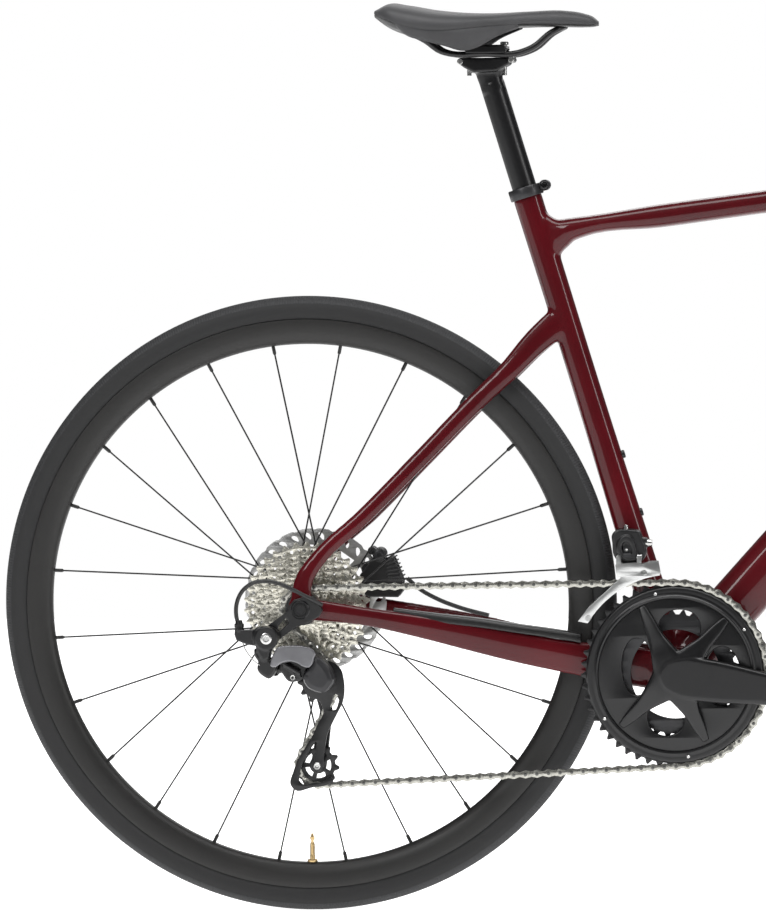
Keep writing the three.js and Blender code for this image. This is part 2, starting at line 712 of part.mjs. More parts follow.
// The right arm and the spider that carries the rings are one forging.
function rightCrank() {
  const arm = plate(
    strap([BB.x, BB.z, 22], [...crankEnd(CRANK_LENGTH, 1), 13]),
    CRANK_OUTER_Y,
    CRANK_OUTER_Y + 13,
  );
  const boss = crossRod(BB.x, BB.z, CRANK_OUTER_Y, -BB_SHELL_HALF - 2 - GAP, 21, 16);
  const legs = SPIDER_ANGLES.map((turn) =>
    plate(
      strap([BB.x, BB.z, 17], [BB.x + 64 * Math.cos(turn), BB.z + 64 * Math.sin(turn), 8]),
      OUTER_RING_Y - 13,
      OUTER_RING_Y - 1 - GAP,
      2,
    ),
  );
  const pins = SPIDER_ANGLES.map((turn) =>
    crossRod(
      BB.x + SPIDER_RADIUS * Math.cos(turn),
      BB.z + SPIDER_RADIUS * Math.sin(turn),
      OUTER_RING_Y - 4,
      INNER_RING_Y - 1 - GAP,
      4,
      6,
    ),
  );
  const [eyeX, eyeZ] = crankEnd(CRANK_LENGTH, 1);
  const spindleBore = crossRod(BB.x, BB.z, -52 - GAP, 0, SPINDLE_RADIUS + GAP, 16);
  const eye = crossRod(eyeX, eyeZ, -90, -40, 7, 10);
  return joined(arm, boss, ...legs, ...pins).subtract(spindleBore).subtract(eye);
}

function leftCrank() {
  const arm = plate(
    strap([BB.x, BB.z, 20], [...crankEnd(CRANK_LENGTH, -1), 13]),
    -CRANK_OUTER_Y - 14,
    -CRANK_OUTER_Y,
  );
  const boss = crossRod(BB.x, BB.z, BB_SHELL_HALF + 2 + GAP, -CRANK_OUTER_Y, 18, 16);
  const [eyeX, eyeZ] = crankEnd(CRANK_LENGTH, -1);
  const spindleBore = crossRod(BB.x, BB.z, 0, 58 + GAP, SPINDLE_RADIUS + GAP, 16);
  return joined(arm, boss).subtract(spindleBore).subtract(crossRod(eyeX, eyeZ, 40, 90, 7, 10));
}

add("bb_cup_right", SATIN_BLACK, bbCup(-1));
add("bb_cup_left", SATIN_BLACK, bbCup(1));
add("crank_spindle", STEEL, spindle());
add("right_crank_arm", SATIN_BLACK, rightCrank());
add("left_crank_arm", SATIN_BLACK, leftCrank());
add("outer_chainring", SATIN_BLACK, chainring(OUTER_TEETH, OUTER_RING_Y, OUTER_RING_HOLE));
add("inner_chainring", DARK_GREY, chainring(INNER_TEETH, INNER_RING_Y, INNER_RING_HOLE));

// ---- chain ----
const GUIDE = { x: 17.2, z: 260.7 };
const TENSION = { x: 15.1, z: 168.8 };
const CHAIN_HALF_WIDTH = 2.6;
const CHAIN_INNER_HALF = 1.35;
const CHAIN_HALF_HEIGHT = 4.2;
const STRAIGHT_IN_PLANE = 26; // the chain leaves a wheel's plane only this far past it

// The wheels in the order the chain meets them; turn is 1 where it bends clockwise seen from the right.
const CHAIN_WHEELS = [
  { x: BB.x, z: BB.z, teeth: OUTER_TEETH, turn: 1, y: OUTER_RING_Y, step: 12 },
  { x: TENSION.x, z: TENSION.z, teeth: PULLEY_TEETH, turn: 1, y: SMALL_COG_Y, step: 24 },
  { x: GUIDE.x, z: GUIDE.z, teeth: PULLEY_TEETH, turn: -1, y: SMALL_COG_Y, step: 24 },
  { x: 0, z: AXLE_Z, teeth: COG_TEETH[0], turn: 1, y: SMALL_COG_Y, step: 24 },
];

// The heading of the straight run from one wheel to the next.
function runHeading(from, to) {
  const dx = to.x - from.x;
  const dz = to.z - from.z;
  const rise = to.turn * pitchRadius(to.teeth) - from.turn * pitchRadius(from.teeth);
  return Math.atan2(dz, dx) + Math.asin(rise / Math.hypot(dx, dz));
}

function chain() {
  const rings = [];
  const count = CHAIN_WHEELS.length;
  CHAIN_WHEELS.forEach((wheel, i) => {
    const arriving = runHeading(CHAIN_WHEELS[(i + count - 1) % count], wheel);
    let leaving = runHeading(wheel, CHAIN_WHEELS[(i + 1) % count]);
    while ((leaving - arriving) * -wheel.turn < 0) leaving -= 2 * Math.PI * wheel.turn;
    while (Math.abs(leaving - arriving) > 2 * Math.PI) leaving += 2 * Math.PI * wheel.turn;
    const steps = Math.ceil(Math.abs(leaving - arriving) / THREE.MathUtils.degToRad(wheel.step));
    for (let k = -1; k <= steps + 1; k++) {
      const heading = arriving + ((leaving - arriving) * THREE.MathUtils.clamp(k, 0, steps)) / steps;
      const ahead = k < 0 ? -STRAIGHT_IN_PLANE : k > steps ? STRAIGHT_IN_PLANE : 0;
      const along = new THREE.Vector3(Math.cos(heading), 0, Math.sin(heading));
      const right = new THREE.Vector3(along.z, 0, -along.x);
      const centre = new THREE.Vector3(wheel.x, wheel.y, wheel.z)
        .addScaledVector(right, -wheel.turn * pitchRadius(wheel.teeth))
        .addScaledVector(along, ahead);
      rings.push(chainSection(wheel.turn).map(([n, y]) =>
        centre.clone().addScaledVector(right, n).add(new THREE.Vector3(0, y, 0))));
    }
  });
  return loft(rings, true);
}

// Two side plates joined by a web on the side away from the teeth: [towards the right of travel, y].
function chainSection(turn) {
  const [low, high] = turn > 0 ? [-3.9, -2.7] : [2.7, 3.9];
  const h = CHAIN_HALF_HEIGHT;
  const w = CHAIN_HALF_WIDTH;
  const inner = CHAIN_INNER_HALF;
  return [[-h, -w], [-h, -inner], [low, -inner], [low, inner], [-h, inner], [-h, w],
    [h, w], [h, inner], [high, inner], [high, -inner], [h, -inner], [h, -w]];
}

add("chain", SILVER, chain());

// ---- rear mech ----
const B_PIVOT = { x: -36.4, z: 311.5 };
const HANGER_LOW_Y = -DROPOUT_OUTER - 6;
const SLANT = THREE.MathUtils.degToRad(40); // how far the parallelogram's pivots lean towards the wheel
const LINK_TURN = THREE.MathUtils.degToRad(-25); // the links point this far outboard on the smallest cog
const LINK_LENGTH = 40;
const LINK_SPREAD = 15.5; // between the outer and the inner link
const LINK_HALF_HEIGHT = 5;
const LINK_PIN_RADIUS = 2.2;
const LINK_EYE_RADIUS = 2.6;
const LINK_OUTER = new THREE.Vector3(-30, -82, 284);
const LINK_PIN_AXIS = new THREE.Vector3(0, Math.sin(SLANT), Math.cos(SLANT));
const LINK_ACROSS = new THREE.Vector3(0, Math.cos(SLANT), -Math.sin(SLANT));
const LINK_ALONG = new THREE.Vector3(Math.cos(LINK_TURN), 0, 0)
  .addScaledVector(LINK_ACROSS, Math.sin(LINK_TURN));
const LINK_INNER = LINK_OUTER.clone().addScaledVector(LINK_ACROSS, LINK_SPREAD);
const linkFar = (pivot) => pivot.clone().addScaledVector(LINK_ALONG, LINK_LENGTH);
const alongPin = (place, distance) => place.clone().addScaledVector(LINK_PIN_AXIS, distance).toArray();

function hanger() {
  const low = HANGER_LOW_Y;
  const high = -DROPOUT_OUTER - GAP;
  const disc = crossRod(0, AXLE_Z, low, high, 14, 14);
  const arm = plate(strap([0, AXLE_Z, 13.5], [B_PIVOT.x, B_PIVOT.z, 9]), low, high, 3);
  const foot = plate(strap([-4, 326, 7], [B_PIVOT.x, B_PIVOT.z, 9]), low, high, 3);
  const window = plate(outline([[-9, 331], [-24, 318], [-18, 312], [-9, 317]]), low - 1, high + 1);
  return joined(disc, arm, foot)
    .subtract(window)
    .subtract(crossRod(0, AXLE_Z, -90, -60, AXLE_HOLE, 10))
    .subtract(crossRod(B_PIVOT.x, B_PIVOT.z, -90, -60, 4.4, 8));
}

// A slab square to the parallelogram's pins that spans both of them, between two heights along the pins.
function lug(pivots, low, high, radius) {
  return joined(
    ...pivots.map((pivot) => rod(alongPin(pivot, low), alongPin(pivot, high), radius, 8)),
    rod(
      alongPin(pivots[0], (low + high) / 2),
      alongPin(pivots[1], (low + high) / 2),
      (high - low) / 2,
      6,
    ),
  );
}

// The space that the ends of the links turn in, cut from the knuckles before their pins are added.
const linkRoom = (pivots) =>
  joined(...pivots.map((pivot) =>
    rod(alongPin(pivot, -LINK_HALF_HEIGHT - GAP), alongPin(pivot, LINK_HALF_HEIGHT + GAP), 9, 10)));

function mechBKnuckle() {
  const body = joined(
    crossRod(B_PIVOT.x, B_PIVOT.z, -95, HANGER_LOW_Y - GAP, 10, 12),
    crossRod(B_PIVOT.x, B_PIVOT.z, -90, -DROPOUT_OUTER, 4, 8),
    plate(strap([B_PIVOT.x, B_PIVOT.z, 8], [-64, 313, 6]), -93, HANGER_LOW_Y - GAP),
    plate(strap([B_PIVOT.x, B_PIVOT.z, 9.5], [-32, 301, 7]), -93, HANGER_LOW_Y - GAP),
  );
  const stop = rod([-64, -88, 310], [-66.5, -88, 322], 5, 8);
  const pivots = [LINK_OUTER, LINK_INNER];
  const pins = pivots.map((pivot) =>
    rod(alongPin(pivot, -LINK_HALF_HEIGHT), alongPin(pivot, LINK_HALF_HEIGHT + 2), LINK_PIN_RADIUS, 6));
  const neck = rod(alongPin(LINK_OUTER, LINK_HALF_HEIGHT + 3.5), [-33, -90, 300], 6, 8);
  return joined(body, stop, lug(pivots, LINK_HALF_HEIGHT + GAP, LINK_HALF_HEIGHT + 5, 5), neck)
    .subtract(rod([-65, -88, 313], [-66.6, -88, 330], 2.6, 8))
    .subtract(linkRoom(pivots))
    .add(joined(...pins));
}

function mechLink(pivot, radius) {
  const far = linkFar(pivot);
  const bar = lug([pivot, far], -LINK_HALF_HEIGHT, LINK_HALF_HEIGHT, radius);
  const eyes = [pivot, far].map((place) =>
    rod(alongPin(place, -20), alongPin(place, 20), LINK_EYE_RADIUS, 8));
  return bar.subtract(joined(...eyes));
}

const P_BARREL_RADIUS = 15;
function mechPKnuckle() {
  const pivots = [linkFar(LINK_OUTER), linkFar(LINK_INNER)];
  const pins = pivots.map((pivot) =>
    rod(alongPin(pivot, -LINK_HALF_HEIGHT - 2), alongPin(pivot, LINK_HALF_HEIGHT), LINK_PIN_RADIUS, 6));
  const barrel = crossRod(GUIDE.x, GUIDE.z, -96, CAGE_OUTER_Y - GAP, P_BARREL_RADIUS, 16);
  const lugLow = -LINK_HALF_HEIGHT - 5;
  const neck = joined(
    rod(alongPin(pivots[0], lugLow + 2), [GUIDE.x, -90, GUIDE.z + 6], 6, 8),
    rod(alongPin(pivots[1], lugLow + 2), [GUIDE.x, -80, GUIDE.z + 6], 6, 8),
  );
  return joined(barrel, neck, lug(pivots, lugLow, -LINK_HALF_HEIGHT - GAP, 5))
    .subtract(linkRoom(pivots))
    .add(joined(...pins));
}

const CAGE_OUTER_Y = -71.5; // the outboard face of the outer plate
const CAGE_PLATE = 2;
const CAGE_INNER_Y = -55;
const cageOutline = [
  [4, 252], [2, 268], [14, 280], [33, 277], [43.5, 264], [46, 250], [44.4, 236], [35.7, 220.3],
  [29.9, 210.4], [23.3, 186.4], [28, 168], [30, 151], [-9.1, 141.8], [-15.4, 148], [-11.6, 166.7],
  [2.8, 192], [17.3, 220.2], [21, 234], [12, 242],
];

function cageOuter() {
  const sheet = plate(outline(cageOutline), CAGE_OUTER_Y, CAGE_OUTER_Y + CAGE_PLATE);
  const bolts = [GUIDE, TENSION].map(({ x, z }) =>
    crossRod(x, z, CAGE_OUTER_Y + 1, CAGE_INNER_Y - GAP, 2.5, 8));
  return joined(sheet, ...bolts);
}

function cageInner() {
  const knee = [24, 228, 7];
  const arms = [GUIDE, TENSION].map(({ x, z }) =>
    plate(strap(knee, [x, z, 9]), CAGE_INNER_Y, CAGE_INNER_Y + CAGE_PLATE));
  return joined(...arms);
}

function pulley({ x, z }) {
  const shape = sprocketShape(PULLEY_TEETH, 1.4, 3.5, x, z);
  shape.holes.push(roundHole(x, z, 2.5 + GAP));
  const hub = crossRod(x, z, SMALL_COG_Y - 4, SMALL_COG_Y + 4, 7, 8)
    .subtract(crossRod(x, z, SMALL_COG_Y - 5, SMALL_COG_Y + 5, 2.5 + GAP, 8));
  return plate(shape, SMALL_COG_Y - 1, SMALL_COG_Y + 1, 4).add(hub);
}

add("derailleur_hanger", MATTE_BLACK, hanger());
add("mech_b_knuckle", MATTE_BLACK, mechBKnuckle());
add("mech_outer_link", DARK_GREY, mechLink(LINK_OUTER, 4.6));
add("mech_inner_link", MATTE_BLACK, mechLink(LINK_INNER, 4.4));
add("mech_p_knuckle", DARK_GREY, mechPKnuckle());
add("mech_cage_outer", MATTE_BLACK, cageOuter());
add("mech_cage_inner", MATTE_BLACK, cageInner());
add("guide_pulley", MATTE_BLACK, pulley(GUIDE));
add("tension_pulley", MATTE_BLACK, pulley(TENSION));

// ---- front mech ----
const FM_BODY_PIVOT = { y: -37, z: 410 };
const FM_CAGE_PIVOT = { y: -43.5, z: 397 };
const FM_LINK_X = [352, 366];
const FM_PIN_RADIUS = 2;

const lengthRod = ({ y, z }, xLow, xHigh, radius, sides = 10) =>
  rod([xLow, y, z], [xHigh, y, z], radius, sides);

function frontMechBody() {
  const face = outline([[344, 397], [344, 420], [352, 428], [378, 428], [383, 416], [383, 397]]);
  const clampBlock = plate(face, -25, -14);
  const lugs = joined(
    block([344, -42, 404], [FM_LINK_X[0] - GAP, -24, 416]),
    block([FM_LINK_X[1] + GAP, -42, 404], [378, -24, 416]),
  );
  const pin = lengthRod(FM_BODY_PIVOT, 346, 376, FM_PIN_RADIUS);
  const seatTube = rod(seatPoint(380), seatPoint(440), 18.4, 12);
  return joined(clampBlock, lugs, pin).subtract(seatTube);
}

function frontMechLink() {
  const eyes = [FM_BODY_PIVOT, FM_CAGE_PIVOT].map((pivot) => lengthRod(pivot, ...FM_LINK_X, 4.4, 8));
  const web = block([FM_LINK_X[0], -42.5, 399], [FM_LINK_X[1], -38, 408]);
  const holes = [FM_BODY_PIVOT, FM_CAGE_PIVOT].map((pivot) =>
    lengthRod(pivot, 340, 380, FM_PIN_RADIUS + GAP));
  return joined(...eyes, web).subtract(joined(...holes));
}

const FM_RING_CLEARANCE = 108;
function frontMechCage() {
  const shape = new THREE.Shape();
  const arcStart = THREE.MathUtils.degToRad(98);
  const arcEnd = THREE.MathUtils.degToRad(149);
  shape.moveTo(301.5, 325);
  shape.lineTo(318, 337);
  shape.lineTo(340, 366);
  shape.lineTo(358.7, 383);
  shape.lineTo(384, 390.2);
  shape.lineTo(392.3, 390.2);
  shape.absarc(BB.x, BB.z, FM_RING_CLEARANCE, arcStart, arcEnd, false);
  shape.closePath();
  const outer = plate(shape, -54.6, -53.2, 6);
  const inner = plate(shape, -42.4, -41, 6);
  const topBridge = block([370, -54, 384], [386, -41.5, 386]);
  const tailBridge = crossRod(309, 327.5, -54, -41.5, 2, 8);
  const hangers = joined(
    block([344, -48, 381], [FM_LINK_X[0] - GAP, -41.2, 400]),
    block([FM_LINK_X[1] + GAP, -48, 381], [374, -41.2, 400]),
  ).subtract(block([340, -50, 340], [380, -42.4, 382.2]));
  const pin = lengthRod(FM_CAGE_PIVOT, 346, 373, FM_PIN_RADIUS);
  return joined(outer, inner, topBridge, tailBridge, hangers, pin);
}

add("front_mech_body", MATTE_BLACK, frontMechBody());
add("front_mech_link", DARK_GREY, frontMechLink());
add("front_mech_cage", SILVER, frontMechCage());

// ---- disc brakes ----
const PAD_REACH = 69; // from the axle to the middle of a pad
const PAD_GAP = 0.5;
const ROTOR_HALF = 0.9;
const REAR_PAD_ANGLE = THREE.MathUtils.degToRad(22);
const FRONT_PAD_ANGLE = THREE.MathUtils.degToRad(148);

// Each half of the caliper stands on one side of the rotor, and they meet beyond its edge.
function caliper(x, rotorY, angle, foot) {
  const middle = [x + 79 * Math.cos(angle), AXLE_Z + 79 * Math.sin(angle)];
  const body = plate(
    strap(
      [middle[0] - 14 * Math.sin(angle), middle[1] + 14 * Math.cos(angle), 15],
      [middle[0] + 14 * Math.sin(angle), middle[1] - 14 * Math.cos(angle), 15],
    ),
    rotorY - 11,
    rotorY + 14,
  );
  const slot = crossRod(x, AXLE_Z, rotorY - 5.2, rotorY + 5.2, ROTOR_RADIUS + 3, 40);
  const blank = crossRod(x, AXLE_Z, rotorY - 20, rotorY + 20, 62, 32);
  return body.add(foot).subtract(slot).subtract(blank);
}

function pad(x, rotorY, angle, side) {
  const near = rotorY + side * (ROTOR_HALF + PAD_GAP);
  const far = rotorY + side * 4.9;
  const shape = strap(
    [x + PAD_REACH * Math.cos(angle - 0.12), AXLE_Z + PAD_REACH * Math.sin(angle - 0.12), 8],
    [x + PAD_REACH * Math.cos(angle + 0.12), AXLE_Z + PAD_REACH * Math.sin(angle + 0.12), 8],
  );
  return plate(shape, Math.min(near, far), Math.max(near, far), 5);
}

const REAR_FOOT = block([56, 58, 340], [108, 70, 356]);
add("rear_caliper", MATTE_BLACK, caliper(0, REAR_ROTOR_Y, REAR_PAD_ANGLE, REAR_FOOT).subtract(stayCutter()));
add("rear_pad_left", DARK_GREY, pad(0, REAR_ROTOR_Y, REAR_PAD_ANGLE, 1));
add("rear_pad_right", DARK_GREY, pad(0, REAR_ROTOR_Y, REAR_PAD_ANGLE, -1));

// The left stays, a little fattened, to clear a seat for the caliper that is bolted to them.
function stayCutter() {
  return ovalTube([
    [184, 50, 309.5, 33, 15],
    [130, 58, 321.4, 27, 14],
    [64, 66.5, 334, 22, 13],
    [20, 70.5, 340, 25, 12],
  ]);
}

// ---- fork, headset and front brake ----
const STEERER_RADIUS = 14.3;
const STEERER_TOP = -52;
const HEADSET_BORE = 15.1;
const CROWN_DOWN = HEAD_TUBE_LENGTH + 8;
const AXLE_DOWN =
  (FRONT_AXLE_X - HEAD_TOP.x) * STEER_DOWN.x + (AXLE_Z - HEAD_TOP.z) * STEER_DOWN.z;

const forkBlade = (side) =>
  ovalTube([
    [...steerPoint(CROWN_DOWN + 14, 0, side * 14), 48, 26],
    [...steerPoint(CROWN_DOWN + 38, 3, side * 31), 42, 17],
    [...steerPoint(CROWN_DOWN + 90, 6, side * 40), 38, 15],
    [...steerPoint(CROWN_DOWN + 200, 15, side * 49), 30, 13],
    [...steerPoint(AXLE_DOWN - 40, 36, side * 55), 24, 12],
    [...steerPoint(AXLE_DOWN + 8, FORK_OFFSET, side * 56), 22, 11],
  ]);

function fork() {
  const crown = ovalTube([
    [...steerPoint(CROWN_DOWN), 54, 52],
    [...steerPoint(CROWN_DOWN + 12), 52, 58],
    [...steerPoint(CROWN_DOWN + 26), 46, 62],
  ], 12);
  const steerer = rod(steerPoint(STEERER_TOP), steerPoint(CROWN_DOWN + 5), STEERER_RADIUS, 12);
  const seat = rod(steerPoint(CROWN_DOWN - 3), steerPoint(CROWN_DOWN + 5), 19, 12);
  const sides = [-1, 1].map((side) =>
    joined(forkBlade(side), crossRod(FRONT_AXLE_X, AXLE_Z, side * FRONT_DROPOUT_FACE, side * 61, 12, 12)));
  const tyreRoom = turned(closedProfile([
    [300, -19],
    [TYRE_RADIUS + 6, -19],
    [TYRE_RADIUS + 6, 19],
    [300, 19],
  ]), FRONT_AXLE_X, AXLE_Z);
  const hubRoom = crossRod(FRONT_AXLE_X, AXLE_Z, -FRONT_DROPOUT_FACE - GAP, FRONT_DROPOUT_FACE + GAP, 16, 12);
  const axleHole = crossRod(FRONT_AXLE_X, AXLE_Z, -90, 90, AXLE_HOLE, 10);
  return joined(crown, steerer, seat, ...sides).subtract(tyreRoom).subtract(hubRoom).subtract(axleHole);
}

const headsetRing = (from, to, outer) =>
  rod(steerPoint(from), steerPoint(to), outer, 12)
    .subtract(rod(steerPoint(from - 5), steerPoint(to + 5), HEADSET_BORE, 12));

const FRONT_FOOT = block([FRONT_AXLE_X - 82, 30, 388], [FRONT_AXLE_X - 60, 46, 430]);
add("headset_upper", MATTE_BLACK, headsetRing(-14, 7.5, 19.2).add(headsetRing(-14, -GAP, 22)));
add("headset_lower", STEEL, headsetRing(HEAD_TUBE_LENGTH - 8, CROWN_DOWN - 3 - GAP, 25));
add("fork", WINE, fork());
add("front_caliper", MATTE_BLACK, caliper(FRONT_AXLE_X, FRONT_ROTOR_Y, FRONT_PAD_ANGLE, FRONT_FOOT)
  .subtract(forkBlade(1)));

// ---- stem, handlebar and controls ----
const STEM_LOW = -15;
const STEM_HIGH = -55;
const STEM_LENGTH = 100;
const STEM_RISE = THREE.MathUtils.degToRad(12);
const BAR_RADIUS = 15.9;
const BAR_GRIP_RADIUS = 15.5;
const STEM_BACK = steerPoint((STEM_LOW + STEM_HIGH) / 2);
const BAR = {
  x: STEM_BACK[0] + STEM_LENGTH * Math.cos(STEM_RISE),
  z: STEM_BACK[2] + STEM_LENGTH * Math.sin(STEM_RISE),
};

function stem() {
  const clamp = rod(steerPoint(STEM_LOW), steerPoint(STEM_HIGH), 19, 14);
  const barClamp = crossRod(BAR.x, BAR.z, -22, 22, 20.5, 16);
  const body = ovalTube([
    [STEM_BACK[0] + 6, 0, STEM_BACK[2] + 1.3, 34, 32],
    [STEM_BACK[0] + 45, 0, STEM_BACK[2] + 9.6, 30, 31],
    [BAR.x - 10, 0, BAR.z - 2.1, 32, 38],
  ], 12);
  const steererBore = rod(steerPoint(STEM_HIGH - 20), steerPoint(STEM_LOW + 9), STEERER_RADIUS + GAP, 12);
  return joined(clamp, barClamp, body)
    .subtract(steererBore)
    .subtract(crossRod(BAR.x, BAR.z, -40, 40, BAR_RADIUS + GAP, 14));
}

// The right half of the bar as [ahead of the clamp, outwards, above the clamp].
const BAR_CURVE = [
  [0, 0, 0],
  [0, 60, 0],
  [0, 130, 0],
  [6, 175, 0],
  [30, 203, -2],
  [62, 209, -8],
  [85, 210, -32],
  [86, 211, -64],
  [68, 212, -97],
  [34, 213, -118],
  [-8, 215, -125],
  [-48, 216, -127],
];
const barPoint = (side, [ahead, out, up]) => [BAR.x + ahead, side * out, BAR.z + up];

function handlebar() {
  const left = BAR_CURVE.slice(1).reverse().map((p) => barPoint(1, p));
  const right = BAR_CURVE.map((p) => barPoint(-1, p));
  return curvedTube([...left, ...right], BAR_GRIP_RADIUS, 44, 10);
}

// The control's body grips the front of the bar and carries the hood.
const HOOD_Y = 210;
function shifterBody(side) {
  const y = side * HOOD_Y;
  const hood = ovalTube([
    [BAR.x + 60, y, BAR.z - 1, 36, 34],
    [BAR.x + 90, y, BAR.z + 8, 35, 33],
    [BAR.x + 120, y, BAR.z + 20, 36, 31],
    [BAR.x + 142, y, BAR.z + 42, 40, 28],
    [BAR.x + 150, y, BAR.z + 62, 26, 22],
  ], 10);
  const nose = ovalTube([
    [BAR.x + 108, y, BAR.z + 8, 40, 28],
    [BAR.x + 136, y, BAR.z + 6, 34, 26],
    [BAR.x + 150, y, BAR.z + 12, 20, 22],
  ], 10);
  const slot = block([BAR.x + 118, y - 6.5, BAR.z - 30], [BAR.x + 165, y + 6.5, BAR.z + 22]);
  const pin = crossRod(LEVER_PIVOT.x, LEVER_PIVOT.z, y - 9, y + 9, 2.2, 8);
  return joined(hood, nose).subtract(slot).subtract(handlebarCutter(side)).add(pin);
}

function handlebarCutter(side) {
  return curvedTube(BAR_CURVE.slice(2, 9).map((p) => barPoint(side, p)), BAR_GRIP_RADIUS + 1.6, 12, 8);
}

const LEVER_PIVOT = { x: BAR.x + 140, z: BAR.z + 8 };

function brakeLever(side) {
  const y = side * HOOD_Y;
  const eye = crossRod(LEVER_PIVOT.x, LEVER_PIVOT.z, y - 6, y + 6, 7, 12);
  const blade = ovalTube([
    [LEVER_PIVOT.x, y, LEVER_PIVOT.z - 2, 12, 11],
    [LEVER_PIVOT.x + 10, y, LEVER_PIVOT.z - 24, 12, 12],
    [LEVER_PIVOT.x + 11, y + side * 1, LEVER_PIVOT.z - 60, 10, 15],
    [LEVER_PIVOT.x + 5, y + side * 4, LEVER_PIVOT.z - 95, 9, 16],
    [LEVER_PIVOT.x + 7, y + side * 7, LEVER_PIVOT.z - 118, 6, 12],
  ], 8);
  return joined(eye, blade).subtract(crossRod(LEVER_PIVOT.x, LEVER_PIVOT.z, y - 10, y + 10, 2.5, 8));
}

// The shift paddle hangs behind the brake lever.
function shiftPaddle(side) {
  const y = side * HOOD_Y;
  const shape = outline([
    [LEVER_PIVOT.x - 2, LEVER_PIVOT.z - 40],
    [LEVER_PIVOT.x + 4.5, LEVER_PIVOT.z - 40],
    [LEVER_PIVOT.x + 4, LEVER_PIVOT.z - 84],
    [LEVER_PIVOT.x - 2, LEVER_PIVOT.z - 84],
    [LEVER_PIVOT.x - 8, LEVER_PIVOT.z - 70],
    [LEVER_PIVOT.x - 6, LEVER_PIVOT.z - 54],
  ]);
  const plateY = y - side * 14;
  const armEndY = y - side * 3;
  const arm = block(
    [LEVER_PIVOT.x - 1, Math.min(plateY, armEndY), LEVER_PIVOT.z - 46],
    [LEVER_PIVOT.x + 4, Math.max(plateY, armEndY), LEVER_PIVOT.z - 41],
  );
  return plate(shape, plateY - 3, plateY + 3).add(arm);
}

add("stem", SATIN_BLACK, stem());
add("handlebar", MATTE_BLACK, handlebar());
for (const [name, side] of [["left", 1], ["right", -1]]) {
  add("shifter_" + name, MATTE_BLACK, shifterBody(side));
  add("brake_lever_" + name, SATIN_BLACK, brakeLever(side));
  add("shift_paddle_" + name, SATIN_BLACK, shiftPaddle(side));
}

// ---- cable housing and brake hose ----
// Outer housing from the right dropout, round in a loop to the mech's cable stop.
const HOUSING_ROUTE = [
  [24, -80.5, 347],
  [9, -86, 355.7],
  [-6, -88, 364],
  [-20, -88, 370.4],
  [-37, -88, 374],
  [-51, -88, 372],
  [-62.5, -88, 364],
  [-69.5, -88, 350],
  [-70, -88, 334],
  [-67.2, -88, 324],
];
// Brake hose from the left chainstay's inner side up to the caliper.
const HOSE_ROUTE = [
  [196, 41, 325],
  [165, 44, 333],
  [138, 47, 343],
  [118, 49, 354],
  [104, 50, 366],
];
add("rear_mech_housing", MATTE_BLACK, curvedTube(HOUSING_ROUTE, 2.3, 22, 6));
add("rear_brake_hose", MATTE_BLACK, curvedTube(HOSE_ROUTE, 2.4, 12, 6));

export default bicycle;
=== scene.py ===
# Looks of the road bicycle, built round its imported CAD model.
# Shapes are given in millimetres: x ahead of the rear axle, y to the left, z up from the floor.
import json
import math

import bmesh
import bpy
import numpy as np
from mathutils import Matrix, Vector


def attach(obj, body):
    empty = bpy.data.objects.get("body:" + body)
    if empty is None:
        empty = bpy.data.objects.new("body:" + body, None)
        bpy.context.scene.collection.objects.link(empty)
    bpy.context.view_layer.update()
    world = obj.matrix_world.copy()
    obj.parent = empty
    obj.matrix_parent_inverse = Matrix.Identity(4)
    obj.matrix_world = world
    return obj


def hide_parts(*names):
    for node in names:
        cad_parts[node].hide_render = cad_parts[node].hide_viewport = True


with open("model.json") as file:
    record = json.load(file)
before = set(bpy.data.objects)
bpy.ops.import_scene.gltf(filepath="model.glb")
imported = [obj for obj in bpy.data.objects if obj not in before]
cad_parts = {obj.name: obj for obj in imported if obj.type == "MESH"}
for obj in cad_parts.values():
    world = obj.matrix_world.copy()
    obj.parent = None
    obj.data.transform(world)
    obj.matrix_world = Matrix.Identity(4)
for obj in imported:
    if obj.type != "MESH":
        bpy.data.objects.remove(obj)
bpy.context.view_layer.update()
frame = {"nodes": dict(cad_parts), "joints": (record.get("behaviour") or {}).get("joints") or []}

# ---- driving positions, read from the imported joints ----
JOINTS = {joint["name"]: joint for joint in frame["joints"]}
MM = 0.001
REAR_X = JOINTS["rear_wheel_spin"]["pos_m"][0]


def joint_place(name):
    x, y, z = JOINTS[name]["pos_m"]
    return ((x - REAR_X) / MM, y / MM, z / MM)


AXLE = joint_place("rear_wheel_spin")
FRONT_AXLE = joint_place("front_wheel_spin")
BB = joint_place("crank_spin")
HEAD_TOP = joint_place("steering")
GUIDE = joint_place("guide_pulley_spin")
TENSION = joint_place("tension_pulley_spin")
B_PIVOT = joint_place("mech_b_pivot")
LEVER = joint_place("brake_lever_left_pull")

# ---- driving dimensions ----
TYRE_RADIUS = 342
RIM_INNER = 288.5
ROTOR_RADIUS = 80
REAR_ROTOR_Y = 55.7
FRONT_ROTOR_Y = 35.7
PITCH = 12.7
RING_TEETH = 50
INNER_TEETH = 34
RING_Y = -47.5
INNER_RING_Y = -41
COG_TEETH = (11, 12, 13, 14, 15, 17, 19, 21, 24, 27, 30, 34)
COG_Y = -62
COG_STEP = 3.5
PULLEY_TEETH = 11
SPOKES = 24
CRANK_DIP = math.radians(8)
CRANK_LENGTH = 172.5
SEAT_ANGLE = math.radians(73.2)
SEAT_SLOPE = 1 / math.tan(SEAT_ANGLE)
SEAT_SETBACK = 3.4
SEAT_WAY = Vector((-math.cos(SEAT_ANGLE), 0, math.sin(SEAT_ANGLE)))
SEAT_OUT = Vector((SEAT_WAY.z, 0, -SEAT_WAY.x))
HEAD_ANGLE = math.radians(72)
HEAD_LENGTH = 165


def pitch_radius(teeth):
    return PITCH / 2 / math.sin(math.pi / teeth)


